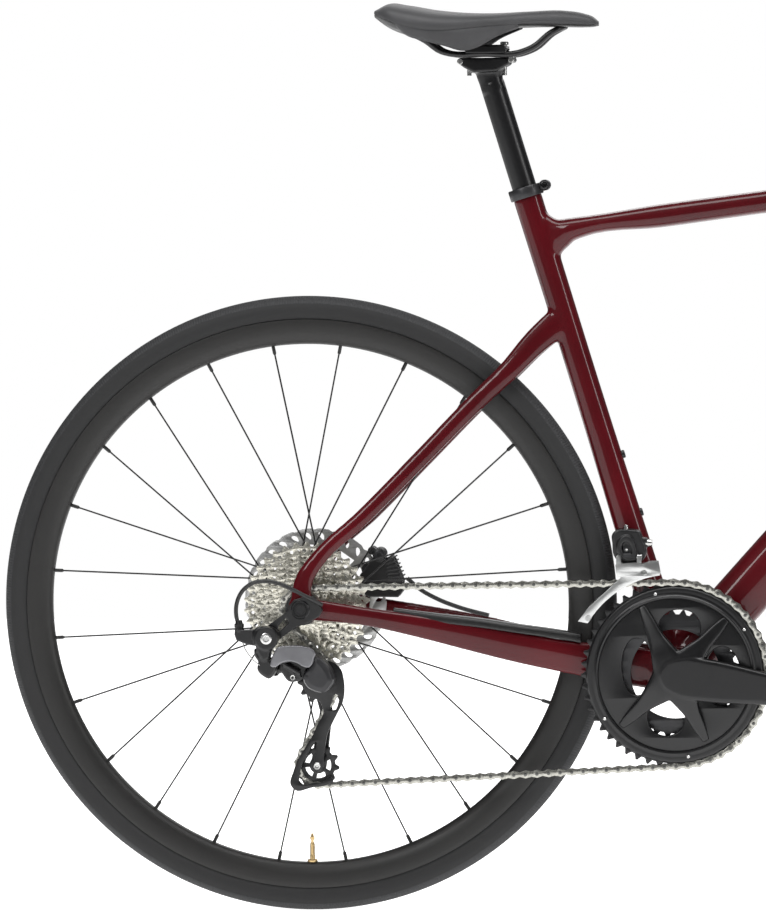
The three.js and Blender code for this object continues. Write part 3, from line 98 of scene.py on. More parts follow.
def full_turn(count):
    """Equal steps of angle round a full turn."""
    return [2 * math.pi * k / count for k in range(count)]


def around(x, z, radius, turn):
    """The (x, z) point at an angle on a circle in the bicycle's plane."""
    return (x + radius * math.cos(turn), z + radius * math.sin(turn))


def seat_point(z):
    """A point on the seat tube's centre line."""
    return (BB[0] - SEAT_SETBACK - (z - BB[2]) * SEAT_SLOPE, 0, z)


def steer_point(down, forward=0, y=0):
    """A point by its distance down the steering axis and ahead of it."""
    x = HEAD_TOP[0] + down * math.cos(HEAD_ANGLE) + forward * math.sin(HEAD_ANGLE)
    z = HEAD_TOP[2] - down * math.sin(HEAD_ANGLE) + forward * math.cos(HEAD_ANGLE)
    return (x, y, z)


# ---- mesh tools: a shape is (points, faces) in millimetres ----
def merge(*shapes):
    """Several shapes as one."""
    points, faces, start = [], [], 0
    for more_points, more_faces in shapes:
        points.append(np.asarray(more_points, float))
        faces += [[i + start for i in face] for face in more_faces]
        start += len(more_points)
    return np.concatenate(points), faces


def skin(rings):
    """Quads through rings of equal length, with a face over each end."""
    count = len(rings[0])
    points = np.concatenate([np.asarray(ring, float) for ring in rings])
    faces = []
    end = (len(rings) - 1) * count
    for a in range(0, end, count):
        b = a + count
        for k in range(count):
            n = (k + 1) % count
            faces.append([a + k, b + k, b + n, a + n])
    faces.append(list(range(count))[::-1])
    faces.append([end + k for k in range(count)])
    return points, faces


def smooth_path(stations, per=6):
    """A smooth curve through stations whose first three values are a place."""
    v = np.asarray(stations, float)
    t = np.concatenate([[0], np.cumsum(np.linalg.norm(np.diff(v[:, :3], axis=0), axis=1))])
    step = np.diff(t)[:, None]
    slope = np.diff(v, axis=0) / step
    tangent = np.concatenate([slope[:1], slope[:-1], slope[-1:]])[: len(v)]
    for i in range(1, len(v) - 1):
        before, after = step[i - 1], step[i]
        tangent[i] = (slope[i] * before + slope[i - 1] * after) / (before + after)
    tangent[-1] = slope[-1]
    made = []
    for i in range(len(v) - 1):
        for s in range(per):
            u = s / per
            made.append(
                v[i] * (2 * u**3 - 3 * u**2 + 1)
                + tangent[i] * step[i] * (u**3 - 2 * u**2 + u)
                + v[i + 1] * (3 * u**2 - 2 * u**3)
                + tangent[i + 1] * step[i] * (u**3 - u**2)
            )
    made.append(v[-1])
    return np.array(made)


def tube(stations, sides=28, power=2.0, per=6):
    """An oval tube through stations (x, y, z, depth, width), depth in the bicycle's plane."""
    path = smooth_path(stations, per)
    places = path[:, :3]
    along = np.gradient(places, axis=0)
    rings = []
    for place, (depth, width), way in zip(places, path[:, 3:5], along):
        way = way / np.linalg.norm(way)
        up = np.cross(way, (0, 1, 0))
        up /= np.linalg.norm(up)
        side = np.cross(up, way)
        ring = []
        for turn in full_turn(sides):
            c = math.copysign(abs(math.cos(turn)) ** (2 / power), math.cos(turn))
            s = math.copysign(abs(math.sin(turn)) ** (2 / power), math.sin(turn))
            ring.append(place + up * depth / 2 * c + side * width / 2 * s)
        rings.append(ring)
    return skin(rings)


def pipe(points, radius, sides=12, per=6):
    """A round tube along a curve; radius is one number or a function of the share of its length."""
    path = smooth_path(points, per) if per > 1 else np.asarray(points, float)
    along = np.gradient(path, axis=0)
    along /= np.linalg.norm(along, axis=1)[:, None]
    across = np.cross(along[0], (0.3, 0.5, 0.8))
    rings = []
    for i, place in enumerate(path):
        across = across - along[i] * np.dot(across, along[i])
        across /= np.linalg.norm(across)
        other = np.cross(along[i], across)
        r = radius(i / (len(path) - 1)) if callable(radius) else radius
        rings.append([place + r * (math.cos(a) * across + math.sin(a) * other) for a in full_turn(sides)])
    return skin(rings)


def spun(profile, base, axis=(0, 1, 0), segments=48, closed=False):
    """A profile of (radius, distance along the axis) turned about the axis through base."""
    axis = Vector(axis).normalized()
    first = axis.orthogonal().normalized()
    second = axis.cross(first)
    rings = []
    for turn in full_turn(segments):
        out = first * math.cos(turn) + second * math.sin(turn)
        rings.append([Vector(base) + axis * h + out * r for r, h in profile])
    count = len(profile)
    points = np.array([p for ring in rings for p in ring])
    faces = []
    last = count if closed else count - 1
    for i in range(segments):
        a, b = i * count, ((i + 1) % segments) * count
        for k in range(last):
            n = (k + 1) % count
            faces.append([a + k, a + n, b + n, b + k])
    if not closed:
        faces.append([i * count for i in range(segments)])
        faces.append([i * count + count - 1 for i in range(segments)][::-1])
    return points, faces


def wheel_ring(profile, axle, segments):
    """A closed (radius, y) profile turned about a wheel's axle."""
    return spun(profile, (axle[0], 0, axle[2]), (0, 1, 0), segments, closed=True)


def wound(loop, sign):
    """A loop of (x, z) points that runs anticlockwise for sign 1 and clockwise for sign -1."""
    area = sum(a[0] * b[1] - b[0] * a[1] for a, b in zip(loop, [*loop[1:], loop[0]]))
    return list(loop) if area * sign > 0 else list(loop)[::-1]


def plate(outline, y_low, y_high, holes=(), bevel=0.3):
    """A flat sheet with holes in the bicycle's plane; loops are (x, z) points."""
    curve = bpy.data.curves.new("plate", "CURVE")
    curve.dimensions = "2D"
    curve.fill_mode = "BOTH"
    curve.extrude = (y_high - y_low) / 2 - bevel
    curve.bevel_depth = bevel
    curve.bevel_resolution = 1
    curve.offset = -bevel
    for loop in (wound(outline, 1), *(wound(hole, -1) for hole in holes)):
        spline = curve.splines.new("POLY")
        spline.points.add(len(loop) - 1)
        for point, (x, z) in zip(spline.points, loop):
            point.co = (x, z, 0, 1)
        spline.use_cyclic_u = True
    holder = bpy.data.objects.new("plate", curve)
    mesh = bpy.data.meshes.new_from_object(holder)
    work = bmesh.new()
    work.from_mesh(mesh)
    bmesh.ops.remove_doubles(work, verts=work.verts, dist=1e-3)
    bmesh.ops.recalc_face_normals(work, faces=work.faces)
    middle = (y_low + y_high) / 2
    points = np.array([(v.co.x, middle - v.co.z, v.co.y) for v in work.verts])
    work.verts.index_update()
    faces = [[v.index for v in f.verts] for f in work.faces]
    work.free()
    bpy.data.meshes.remove(mesh)
    bpy.data.objects.remove(holder)
    bpy.data.curves.remove(curve)
    return points, faces


def circle(x, z, radius, count=24):
    return [around(x, z, radius, turn) for turn in full_turn(count)]


def rounded(points, per=6):
    """A closed smooth outline through given (x, z) points."""
    loop = [(x, z, 0) for x, z in points]
    path = smooth_path([loop[-1], *loop, loop[0], loop[1]], per)
    return [(p[0], p[1]) for p in path[per : per * (len(loop) + 1)]]


# Share of a tooth's pitch from the middle of a hollow, and height over the pitch circle.
TOOTH = ((-0.42, 2.0), (-0.3, -0.7), (-0.16, -3.2), (0.16, -3.2), (0.3, -0.7), (0.42, 2.0))


def sprocket(teeth, x, z, phase=0.0, rise=1.0):
    """The toothed outline of a chain wheel."""
    radius = pitch_radius(teeth)
    pitch = 2 * math.pi / teeth
    loop = []
    for k in range(teeth):
        for share, height in TOOTH:
            turn = phase + pitch * (k + share)
            r = radius + height * (rise if height > 0 else 1)
            loop.append(around(x, z, r, turn))
    return loop


def bolt(place, way, radius, height, socket=0.5):
    """A round bolt head with a six-sided socket, standing on place and facing way."""
    way = Vector(way).normalized()
    first = way.orthogonal().normalized()
    second = way.cross(first)

    def ring(r, h, hexagon=False):
        made = []
        for a in full_turn(24):
            reach = r
            if hexagon:
                part = a % (math.pi / 3) - math.pi / 6
                reach = r * math.cos(math.pi / 6) / math.cos(part)
            made.append(Vector(place) + way * h + (first * math.cos(a) + second * math.sin(a)) * reach)
        return made

    rings = [
        ring(radius, 0),
        ring(radius, height * 0.72),
        ring(radius * 0.86, height),
        ring(radius * socket * 1.12, height),
        ring(radius * socket, height * 0.94, True),
        ring(radius * socket, height * 0.3, True),
    ]
    return skin(rings)


# ---- objects ----
def make(name, shape, body, material, node=None, sharp=38):
    """Puts a shape in the scene as a piece that rides on a body."""
    points, faces = shape
    placed = np.asarray(points, float) * MM
    placed[:, 0] += REAR_X
    mesh = bpy.data.meshes.new(name)
    mesh.from_pydata([tuple(p) for p in placed], [], faces)
    mesh.validate()
    obj = bpy.data.objects.new(name, mesh)
    bpy.context.scene.collection.objects.link(obj)
    work = bmesh.new()
    work.from_mesh(mesh)
    bmesh.ops.recalc_face_normals(work, faces=work.faces)
    work.to_mesh(mesh)
    work.free()
    return dress(obj, body, material, node, sharp)


def dress(obj, body, material, node=None, sharp=38):
    """Material, shading, body and replaced CAD node of a piece."""
    obj.data.materials.clear()
    obj.data.materials.append(material)
    obj.data.shade_smooth()
    if sharp:
        obj.data.set_sharp_from_angle(angle=math.radians(sharp))
    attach(obj, body)
    if node:
        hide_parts(node)
    return obj


def settle(obj):
    """Applies an object's modifiers to its mesh."""
    graph = bpy.context.evaluated_depsgraph_get()
    made = bpy.data.meshes.new_from_object(obj.evaluated_get(graph))
    obj.modifiers.clear()
    old = obj.data
    obj.data = made
    bpy.data.meshes.remove(old)


def fused(name, shape, body, material, voxel, rounds, node=None):
    """Shapes that run into each other become one skin with soft transitions."""
    obj = make(name, shape, body, material, node, 0)
    fuse(obj, voxel, rounds)
    return dress(obj, body, material, None, 0)


def fuse(obj, voxel, rounds):
    """Remeshes an object in voxels of a size in millimetres, and smooths it."""
    remesh = obj.modifiers.new("remesh", "REMESH")
    remesh.mode = "VOXEL"
    remesh.voxel_size = voxel * MM
    smooth = obj.modifiers.new("smooth", "SMOOTH")
    smooth.factor = 0.5
    smooth.iterations = rounds
    settle(obj)


def softened(node, body, material, voxel, rounds):
    """A copy of a CAD node with its facets and edges rounded, shown in the node's place."""
    obj = bpy.data.objects.new(node + "_shape", frame["nodes"][node].data.copy())
    bpy.context.scene.collection.objects.link(obj)
    fuse(obj, voxel, rounds)
    return dress(obj, body, material, node, 0)


# ---- materials ----
class Shade:
    """A Principled material with small helpers for procedural detail."""

    def __init__(self, name, color, rough, metal=0.0, coat=0.0):
        self.material = bpy.data.materials.new(name)
        self.material.use_nodes = True
        self.tree = self.material.node_tree
        self.shader = self.tree.nodes["Principled BSDF"]
        self.color = color
        self.rough = rough
        self.shader.inputs["Base Color"].default_value = (*color, 1)
        self.shader.inputs["Roughness"].default_value = rough
        self.shader.inputs["Metallic"].default_value = metal
        self.shader.inputs["Coat Weight"].default_value = coat
        self.shader.inputs["Coat Roughness"].default_value = 0.04
        self.coords = self.node("ShaderNodeTexCoord").outputs["Object"]
        self.last_bump = None

    def node(self, kind, **values):
        made = self.tree.nodes.new(kind)
        for key, value in values.items():
            if key in made.inputs:
                made.inputs[key].default_value = value
            else:
                setattr(made, key, value)
        return made

    def link(self, out, into):
        self.tree.links.new(out, into)

    def moved(self, centre, stretch=(1, 1, 1)):
        """Object coordinates counted from a place in millimetres."""
        place = np.asarray(centre, float) * MM
        place[0] += REAR_X
        shift = self.node("ShaderNodeVectorMath", operation="SUBTRACT")
        shift.inputs[1].default_value = tuple(place)
        self.link(self.coords, shift.inputs[0])
        scale = self.node("ShaderNodeVectorMath", operation="MULTIPLY")
        scale.inputs[1].default_value = stretch
        self.link(shift.outputs[0], scale.inputs[0])
        return scale.outputs[0]

    def noise(self, scale, detail=3.0, source=None):
        made = self.node("ShaderNodeTexNoise", Scale=scale, Detail=detail, Roughness=0.55)
        self.link(source or self.coords, made.inputs["Vector"])
        return made.outputs["Fac"]

    def ramp(self, value, stops):
        made = self.node("ShaderNodeValToRGB")
        items = made.color_ramp.elements
        items[0].position, items[1].position = stops[0][0], stops[-1][0]
        for place, _ in stops[1:-1]:
            items.new(place)
        for item, (place, color) in zip(sorted(items, key=lambda e: e.position), stops):
            item.color = (*color, 1)
        self.link(value, made.inputs["Fac"])
        return made.outputs["Color"]

    def tint(self, value, low, high):
        """Colour varies between two shades of the material's own."""
        dark = tuple(c * low for c in self.color)
        light = tuple(min(c * high, 1) for c in self.color)
        self.link(self.ramp(value, [(0.3, dark), (0.7, light)]), self.shader.inputs["Base Color"])

    def gloss(self, value, spread):
        """Roughness varies by a spread to both sides of the material's own."""
        made = self.node("ShaderNodeMapRange")
        made.inputs["To Min"].default_value = max(self.rough - spread, 0.02)
        made.inputs["To Max"].default_value = min(self.rough + spread, 1)
        self.link(value, made.inputs["Value"])
        self.link(made.outputs[0], self.shader.inputs["Roughness"])

    def bump(self, value, strength, depth):
        made = self.node("ShaderNodeBump", Strength=strength, Distance=depth * MM)
        self.link(value, made.inputs["Height"])
        if self.last_bump:
            self.link(self.last_bump, made.inputs["Normal"])
        self.last_bump = made.outputs["Normal"]
        self.link(self.last_bump, self.shader.inputs["Normal"])

    def radius(self, axle):
        """Distance from a wheel's axle, in metres."""
        flat = self.moved((axle[0], 0, axle[2]), (1, 0, 1))
        made = self.node("ShaderNodeVectorMath", operation="LENGTH")
        self.link(flat, made.inputs[0])
        return made.outputs["Value"]

    def turn(self, axle):
        """Angle round a wheel's axle."""
        parts = self.node("ShaderNodeSeparateXYZ")
        self.link(self.moved((axle[0], 0, axle[2])), parts.inputs[0])
        made = self.node("ShaderNodeMath", operation="ARCTAN2")
        self.link(parts.outputs[2], made.inputs[0])
        self.link(parts.outputs[0], made.inputs[1])
        return made.outputs[0]

    def times(self, value, factor):
        made = self.node("ShaderNodeMath", operation="MULTIPLY")
        made.inputs[1].default_value = factor
        self.link(value, made.inputs[0])
        return made.outputs[0]

    def sine(self, value):
        made = self.node("ShaderNodeMath", operation="SINE")
        self.link(value, made.inputs[0])
        return made.outputs[0]


def lacquer():
    """Deep wine-red paint with a little flake under clear coat."""
    s = Shade("wine_lacquer", (0.058, 0.0008, 0.0030), 0.4, 0.0, 0.5)
    s.shader.inputs["Specular IOR Level"].default_value = 0.1
    s.tint(s.noise(9, 2), 0.8, 1.25)
    s.gloss(s.noise(2600, 2), 0.06)
    s.bump(s.noise(220, 2), 0.05, 0.05)
    s.shader.inputs["Coat Roughness"].default_value = 0.035
    return s.material


def metal(name, color, rough, scale=300.0, metallic=1.0, depth=0.03):
    """Metal or a coating on it, with fine grain and slow changes of tone."""
    s = Shade(name, color, rough, metallic)
    fine = s.noise(scale, 4)
    s.tint(s.noise(scale / 12, 3), 0.82, 1.15)
    s.gloss(fine, rough * 0.3)
    s.bump(fine, 0.15, depth)
    return s.material


def moulded(name, color, rough):
    """Moulded plastic or rubber with a fine texture."""
    s = Shade(name, color, rough)
    s.tint(s.noise(60, 3), 0.85, 1.2)
    s.gloss(s.noise(300, 3), 0.08)
    s.bump(s.noise(900, 3), 0.3, 0.06)
    return s.material


def ground_rotor(name, axle):
    """Stainless steel ground in circles about the axle."""
    s = Shade(name, (0.40, 0.40, 0.395), 0.38, 1.0)
    radius = s.radius(axle)
    lines = s.noise(1, 3, s.times(radius, 2600))
    s.gloss(lines, 0.1)
    s.tint(s.noise(40, 2), 0.9, 1.1)
    s.bump(lines, 0.25, 0.02)
    return s.material


WALL_COLOR = (0.008, 0.008, 0.0085, 1)
TREAD_COLOR = (0.020, 0.0205, 0.022, 1)
# The radii in metres between which the wall turns into the tread.
BAND_START, BAND_END = 0.3335, 0.3345
GROOVES = 720


def tyre_rubber(name, axle):
    """Smooth charcoal sidewalls and a lighter tread band with fine diagonal grooves."""
    s = Shade(name, (0.02, 0.02, 0.021), 0.72)
    radius = s.radius(axle)
    grain = s.noise(420, 3)
    band = s.node("ShaderNodeMapRange")
    band.inputs["From Min"].default_value = BAND_START
    band.inputs["From Max"].default_value = BAND_END
    s.link(radius, band.inputs["Value"])
    mix = s.node("ShaderNodeMix", data_type="RGBA")
    s.link(band.outputs[0], mix.inputs["Factor"])
    mix.inputs[6].default_value = WALL_COLOR
    mix.inputs[7].default_value = TREAD_COLOR
    worn = s.node("ShaderNodeMix", data_type="RGBA", blend_type="MULTIPLY")
    worn.inputs["Factor"].default_value = 1
    s.link(mix.outputs[2], worn.inputs[6])
    s.link(s.ramp(grain, [(0.3, (0.8, 0.8, 0.8)), (0.75, (1, 1, 1))]), worn.inputs[7])
    s.link(worn.outputs[2], s.shader.inputs["Base Color"])
    grooves = s.sine(s.times(s.turn(axle), GROOVES))
    cut = s.node("ShaderNodeMath", operation="MULTIPLY")
    s.link(grooves, cut.inputs[0])
    s.link(band.outputs[0], cut.inputs[1])
    s.bump(cut.outputs[0], 0.5, 0.25)
    s.bump(grain, 0.2, 0.08)
    return s.material


def saddle_cover():
    """Matte synthetic leather with a fine pebbled grain."""
    s = Shade("saddle_cover", (0.034, 0.034, 0.036), 0.6)
    cells = s.node("ShaderNodeTexVoronoi", Scale=900.0)
    s.link(s.coords, cells.inputs["Vector"])
    s.tint(s.noise(25, 3), 0.85, 1.15)
    s.gloss(s.noise(300, 3), 0.08)
    s.bump(cells.outputs["Distance"], 0.3, 0.12)
    s.bump(s.noise(140, 3), 0.15, 0.1)
    s.shader.inputs["Sheen Weight"].default_value = 0.15
    s.shader.inputs["Sheen Roughness"].default_value = 0.4
    return s.material


def wrap_tape():
    """Cork-textured bar tape with fine speckle."""
    s = Shade("bar_tape", (0.028, 0.028, 0.029), 0.82)
    speckle = s.noise(1300, 4)
    s.tint(speckle, 0.6, 1.8)
    s.bump(speckle, 0.5, 0.2)
    s.bump(s.noise(180, 3), 0.3, 0.3)
    return s.material


def hood_rubber():
    """Soft rubber with rows of small raised dots."""
    s = Shade("hood_rubber", (0.026, 0.026, 0.027), 0.78)
    cells = s.node("ShaderNodeTexVoronoi", Scale=420.0, feature="SMOOTH_F1")
    cells.inputs["Randomness"].default_value = 0.15
    s.link(s.coords, cells.inputs["Vector"])
    s.tint(s.noise(80, 3), 0.85, 1.2)
    s.bump(cells.outputs["Distance"], 0.45, 0.4)
    return s.material


def plated(name, color):
    """Warm plated steel with patches of grime at random."""
    s = Shade(name, color, 0.3, 1.0)
    patches = s.noise(350, 4)
    s.tint(patches, 0.74, 1.1)
    s.gloss(s.noise(900, 3), 0.12)
    s.bump(s.noise(1200, 3), 0.2, 0.04)
    return s.material


PAINT = lacquer()
SATIN = metal("satin_black", (0.0045, 0.0045, 0.005), 0.32, 500, 0.15)
GLOSS_BLACK = metal("polished_black", (0.004, 0.004, 0.0045), 0.2, 400, 0.1)
PLASTIC = moulded("black_plastic", (0.0035, 0.0035, 0.004), 0.36)
DARK = metal("dark_grey", (0.028, 0.028, 0.030), 0.36, 500, 0.4)
LIGHT = metal("light_grey", (0.17, 0.17, 0.18), 0.34, 500, 0.8)
STEEL = metal("bright_steel", (0.55, 0.55, 0.54), 0.26, 400)
CHROME = plated("cassette_steel", (0.66, 0.64, 0.56))
CHAIN = plated("chain_steel", (0.40, 0.395, 0.36))
PIN = metal("pin_steel", (0.12, 0.12, 0.115), 0.4, 900)
RIM = metal("rim_black", (0.0055, 0.005, 0.0045), 0.46, 350, 0.05)
SPOKE = metal("spoke_black", (0.010, 0.010, 0.010), 0.4, 800, 0.3)
BRASS = metal("brass", (0.55, 0.40, 0.20), 0.34, 500)
HOSE = moulded("hose_black", (0.009, 0.009, 0.009), 0.4)
PROTECTOR = moulded("protector_black", (0.008, 0.008, 0.008), 0.36)
CHROME_PLATE = metal("chrome_plate", (0.50, 0.505, 0.50), 0.3, 60, depth=0.01)
COVER = saddle_cover()
TAPE = wrap_tape()
HOOD = hood_rubber()


# ---- frame and fork ----
def chainstay(side):
    return tube([
        (400, side * 24, 269, 46, 20), (345, side * 28, 277, 43, 16), (300, side * 32, 284, 38, 15),
        (239, side * 42, 296.4, 35, 15), (184, side * 50, 309.5, 32, 14), (130, side * 58, 321.4, 26, 13),
        (64, side * 66.5, 334, 21, 12), (20, side * 70.5, 340, 24, 10), (-4, side * 71.5, 342, 26, 9),
    ], power=2.5)


def seatstay(side):
    return tube([
        (285, side * 6, 657, 34, 16), (256, side * 14, 632, 29, 18), (226, side * 25, 600, 23.5, 15),
        (192, side * 30, 568, 21.5, 13), (128, side * 43, 503, 19.5, 12), (64, side * 58, 439, 18.5, 12),
        (20, side * 66, 399, 18.5, 11), (3, side * 70, 374, 21, 10), (-1, side * 71.5, 342, 26, 9),
    ], power=2.4)


def frame_shape():
    """All tubes of the frame, the bottom bracket shell and the dropouts."""
    seat_tube = tube([
        (*seat_point(268), 42, 42), (*seat_point(330), 37, 38), (*seat_point(424), 34, 34),
        (*seat_point(545), 31, 32), (*seat_point(700), 31, 32), (*seat_point(793), 32, 32),
    ], power=2.3)
    top_tube = tube([
        (262, 0, 745, 80, 22), (270, 0, 747, 60, 26), (277, 0, 748.5, 45, 29), (284, 0, 750.5, 34, 31),
        (292, 0, 754, 27, 33), (303, 0, 756.8, 23.5, 34), (395, 0, 769, 25.5, 36),
        (509, 0, 783.5, 25, 38), (650, 0, 801, 28, 40), (750, 0, 813, 36, 40), (800, 0, 817, 48, 38),
    ], power=2.6)
    down_tube = tube([
        (405, 0, 262, 62, 58), (450, 0, 315, 59, 56), (529, 0, 404, 58, 52),
        (680, 0, 572, 55, 48), (790, 0, 696, 56, 44), (832, 0, 738, 58, 40),
    ], power=2.6)
    head_tube = tube([
        (*steer_point(0), 46, 44), (*steer_point(60), 46, 43), (*steer_point(120), 52, 50),
        (*steer_point(HEAD_LENGTH), 60, 58),
    ])
    shell = spun([(27, -37), (27, 37)], (BB[0], 0, BB[2]), segments=48)
    ends = [
        spun([(15.5, side * 66), (15.5, side * 75)], (0, 0, AXLE[2]), segments=48) for side in (-1, 1)
    ]
    stays = [make_stay(side) for make_stay in (chainstay, seatstay) for side in (-1, 1)]
    return merge(seat_tube, top_tube, down_tube, head_tube, shell, *ends, *stays)


def fork_blade(side):
    ahead, below = FRONT_AXLE[0] - HEAD_TOP[0], HEAD_TOP[2] - FRONT_AXLE[2]
    axle_down = ahead * math.cos(HEAD_ANGLE) + below * math.sin(HEAD_ANGLE)
    crown = HEAD_LENGTH + 8
    return tube([
        (*steer_point(crown + 14, 0, side * 14), 48, 26),
        (*steer_point(crown + 38, 3, side * 31), 42, 17),
        (*steer_point(crown + 90, 6, side * 40), 38, 15),
        (*steer_point(crown + 200, 15, side * 49), 30, 13),
        (*steer_point(axle_down - 40, 36, side * 55), 24, 12),
        (*steer_point(axle_down + 8, 50, side * 56), 22, 10),
    ], power=2.4)


def fork_shape():
    crown = HEAD_LENGTH + 5
    top = tube([
        (*steer_point(crown - 1), 56, 54), (*steer_point(crown + 12), 54, 58),
        (*steer_point(crown + 28), 46, 62),
    ], power=2.2)
    steerer = pipe([steer_point(-60), steer_point(crown + 4)], 14.2, 32, 1)
    ends = [
        spun([(12, side * 50.5), (12, side * 60.5)], (FRONT_AXLE[0], 0, FRONT_AXLE[2]), segments=40)
        for side in (-1, 1)
    ]
    return merge(top, steerer, fork_blade(-1), fork_blade(1), *ends)


def protector_shape():
    """The rubber strip along the top of the right chainstay."""
    strip = smooth_path([
        (100, -58.6, 338.2), (150, -53.5, 331.5), (195, -48.2, 326.0),
        (239, -42.2, 318.8), (283, -35.2, 311.8), (305, -32.2, 307.3),
    ], 6)
    rings = []
    for i, (x, y, z) in enumerate(strip):
        share = i / (len(strip) - 1)
        half = 5.4 + 2.2 * math.sin(math.pi * share)
        rings.append([
            (x, y + half * across, z + up)
            for across, up in (
                (1, -0.5), (0.7, 3.0), (0, 4.3), (-0.7, 3.0), (-1, -0.8), (-1.05, -6.0), (-0.5, -6.5),
                (0, -3),
            )
        ])
    return skin(rings)


def boss_bolts():
    """Two bottle bolts on the down tube and two on the seat tube."""
    made = []
    down = Vector((454.0, 0, 358.0)), Vector((506.8, 0, 423.2))
    way = (down[1] - down[0]).normalized()
    out = Vector((-way.z, 0, way.x))
    for reach in (40, 104):
        made.append(bolt(down[0] + way * reach - out * 1.5, out, 4.6, 3.2))
    for z in (438, 502):
        made.append(bolt(Vector(seat_point(z)) + SEAT_OUT * 15.6, SEAT_OUT, 4.6, 3.2))
    return merge(*made)


fused("frame_shape", frame_shape(), "frame", PAINT, 1.6, 30, "frame")
fused("fork_shape", fork_shape(), "steering", PAINT, 1.7, 26, "fork")
fused("chainstay_protector", protector_shape(), "frame", PROTECTOR, 0.9, 8, None)
make("bottle_bolts", boss_bolts(), "frame", SATIN, None)


# ---- wheels ----
TYRE_HALF = [
    (315.6, 10.6), (317.5, 12.0), (319, 13.4), (322, 14.7), (327, 15.4), (331, 14.9), (333.6, 13.6),
    (334.2, 13.5), (336.8, 11.0), (339.2, 8.0), (340.9, 4.6), (341.8, 2.0),
]
RIM_HALF = [
    (316.3, 11.2), (316.2, 12.3), (315.2, 12.5), (311, 12.5), (303, 12.0), (296, 10.4), (291.5, 7.8),
    (289.2, 4.6), (288.6, 2.0),
]


def mirrored(half, middle_radius):
    """A wheel profile from the half that lies on its left side."""
    return half + [(middle_radius, 0)] + [(r, -y) for r, y in reversed(half)]


def nipple_radius(share):
    return 2.0 if share < 0.9 else 1.2


def spokes_shape(axle, flanges, flange_radius):
    """Crossed spokes between both flanges and the rim, each with its nipple."""
    made = []
    for k in range(SPOKES):
        rim_turn = 2 * math.pi * (k + 0.5) / SPOKES
        side = 1 if k % 4 < 2 else -1
        hub_turn = rim_turn + side * math.radians(62)
        hub_x, hub_z = around(axle[0], axle[2], flange_radius - 1, hub_turn)
        rim_x, rim_z = around(axle[0], axle[2], RIM_INNER + 0.5, rim_turn)
        a = np.array((hub_x, flanges[k % 2] + side * 1.3, hub_z), float)
        b = np.array((rim_x, 0, rim_z), float)
        inward = (a - b) / np.linalg.norm(a - b)
        made.append(pipe([a, b], 0.95, 8, 1))
        made.append(pipe([b, b + inward * 8.5, b + inward * 10], nipple_radius, 10, 1))
    return merge(*made)


REAR_HUB = [
    (6.6, -70.6), (9.4, -70.6), (9.6, -67), (9.6, -20), (24, -19.6), (25.6, -18.6), (26, -17), (25.6, -15.4),
    (23, -14.8), (15, -11), (13, -4), (12.6, 7), (13, 18), (16, 26), (23, 28.8), (25.6, 29.4), (26, 31),
    (25.6, 32.6), (23, 33.4), (16, 35), (15, 38), (15, 58), (13, 60), (10, 64), (9.4, 70.6), (6.6, 70.6),
]
FRONT_HUB = [
    (6.6, -49.6), (10, -49.6), (11, -32), (20, -28.6), (21.8, -27.4), (22, -26), (21.8, -24.6), (19, -23.8),
    (13, -19), (11.6, -8), (11.6, 8), (13, 19), (19, 23.8), (21.8, 24.6), (22, 26), (21.8, 27.4), (19, 28.4),
    (15, 29.2), (15, 38), (12, 42), (10, 49.6), (6.6, 49.6),
]


def valve_shape():
    """A brass valve: stem, lock nut and the narrow tip."""
    base = (AXLE[0], 0, AXLE[2] - RIM_INNER - 0.5)
    profile = [(3.0, 0), (3.0, 7.5)]
    for k in range(8):
        h = 8.0 + k * 1.6
        profile += [(2.9, h), (2.55, h + 0.8)]
    profile += [
        (2.3, 21.5), (1.5, 22.5), (1.5, 25), (2.6, 25.3), (2.6, 28.5), (1.6, 29.2), (1.3, 31.5), (0.5, 32.4),
    ]
    nut = [(3.1, 0.6), (5.6, 0.6), (5.8, 1.2), (5.6, 3.0), (3.1, 3.2)]
    return merge(spun(profile, base, (0, 0, 1), 20), spun(nut, base, (0, 0, 1), 20, closed=True))


def wheel(prefix, body, axle, hub, flanges, flange_radius):
    """Tyre, rim, hub and spokes of one wheel."""
    rubber = tyre_rubber(prefix + "_tyre_rubber", axle)
    make(prefix + "_tyre_shape", wheel_ring(mirrored(TYRE_HALF, TYRE_RADIUS), axle, 300), body, rubber,
         prefix + "_tyre")
    make(prefix + "_rim_shape", wheel_ring(mirrored(RIM_HALF, RIM_INNER), axle, 240), body, RIM,
         prefix + "_rim", 50)
    shape = merge(wheel_ring(hub, axle, 48), spokes_shape(axle, flanges, flange_radius))
    make(prefix + "_hub_and_spokes_shape", shape, body, SPOKE, prefix + "_hub_and_spokes")


wheel("rear", "rear_wheel", AXLE, REAR_HUB, (-17, 31), 26)
wheel("front", "front_wheel", FRONT_AXLE, FRONT_HUB, (-26, 26), 22)
make("rear_valve_shape", valve_shape(), "rear_wheel", BRASS, "rear_valve")


ROTOR_NOTCHES = 24
ROTOR_NOTCH = 1.3
# An opening between two arms, as (radius, angle) corners.
ROTOR_GAP = ((26, 0.1), (26, 0.42), (45, 0.52), (62, 0.52), (62, 0.16), (45, 0.16))


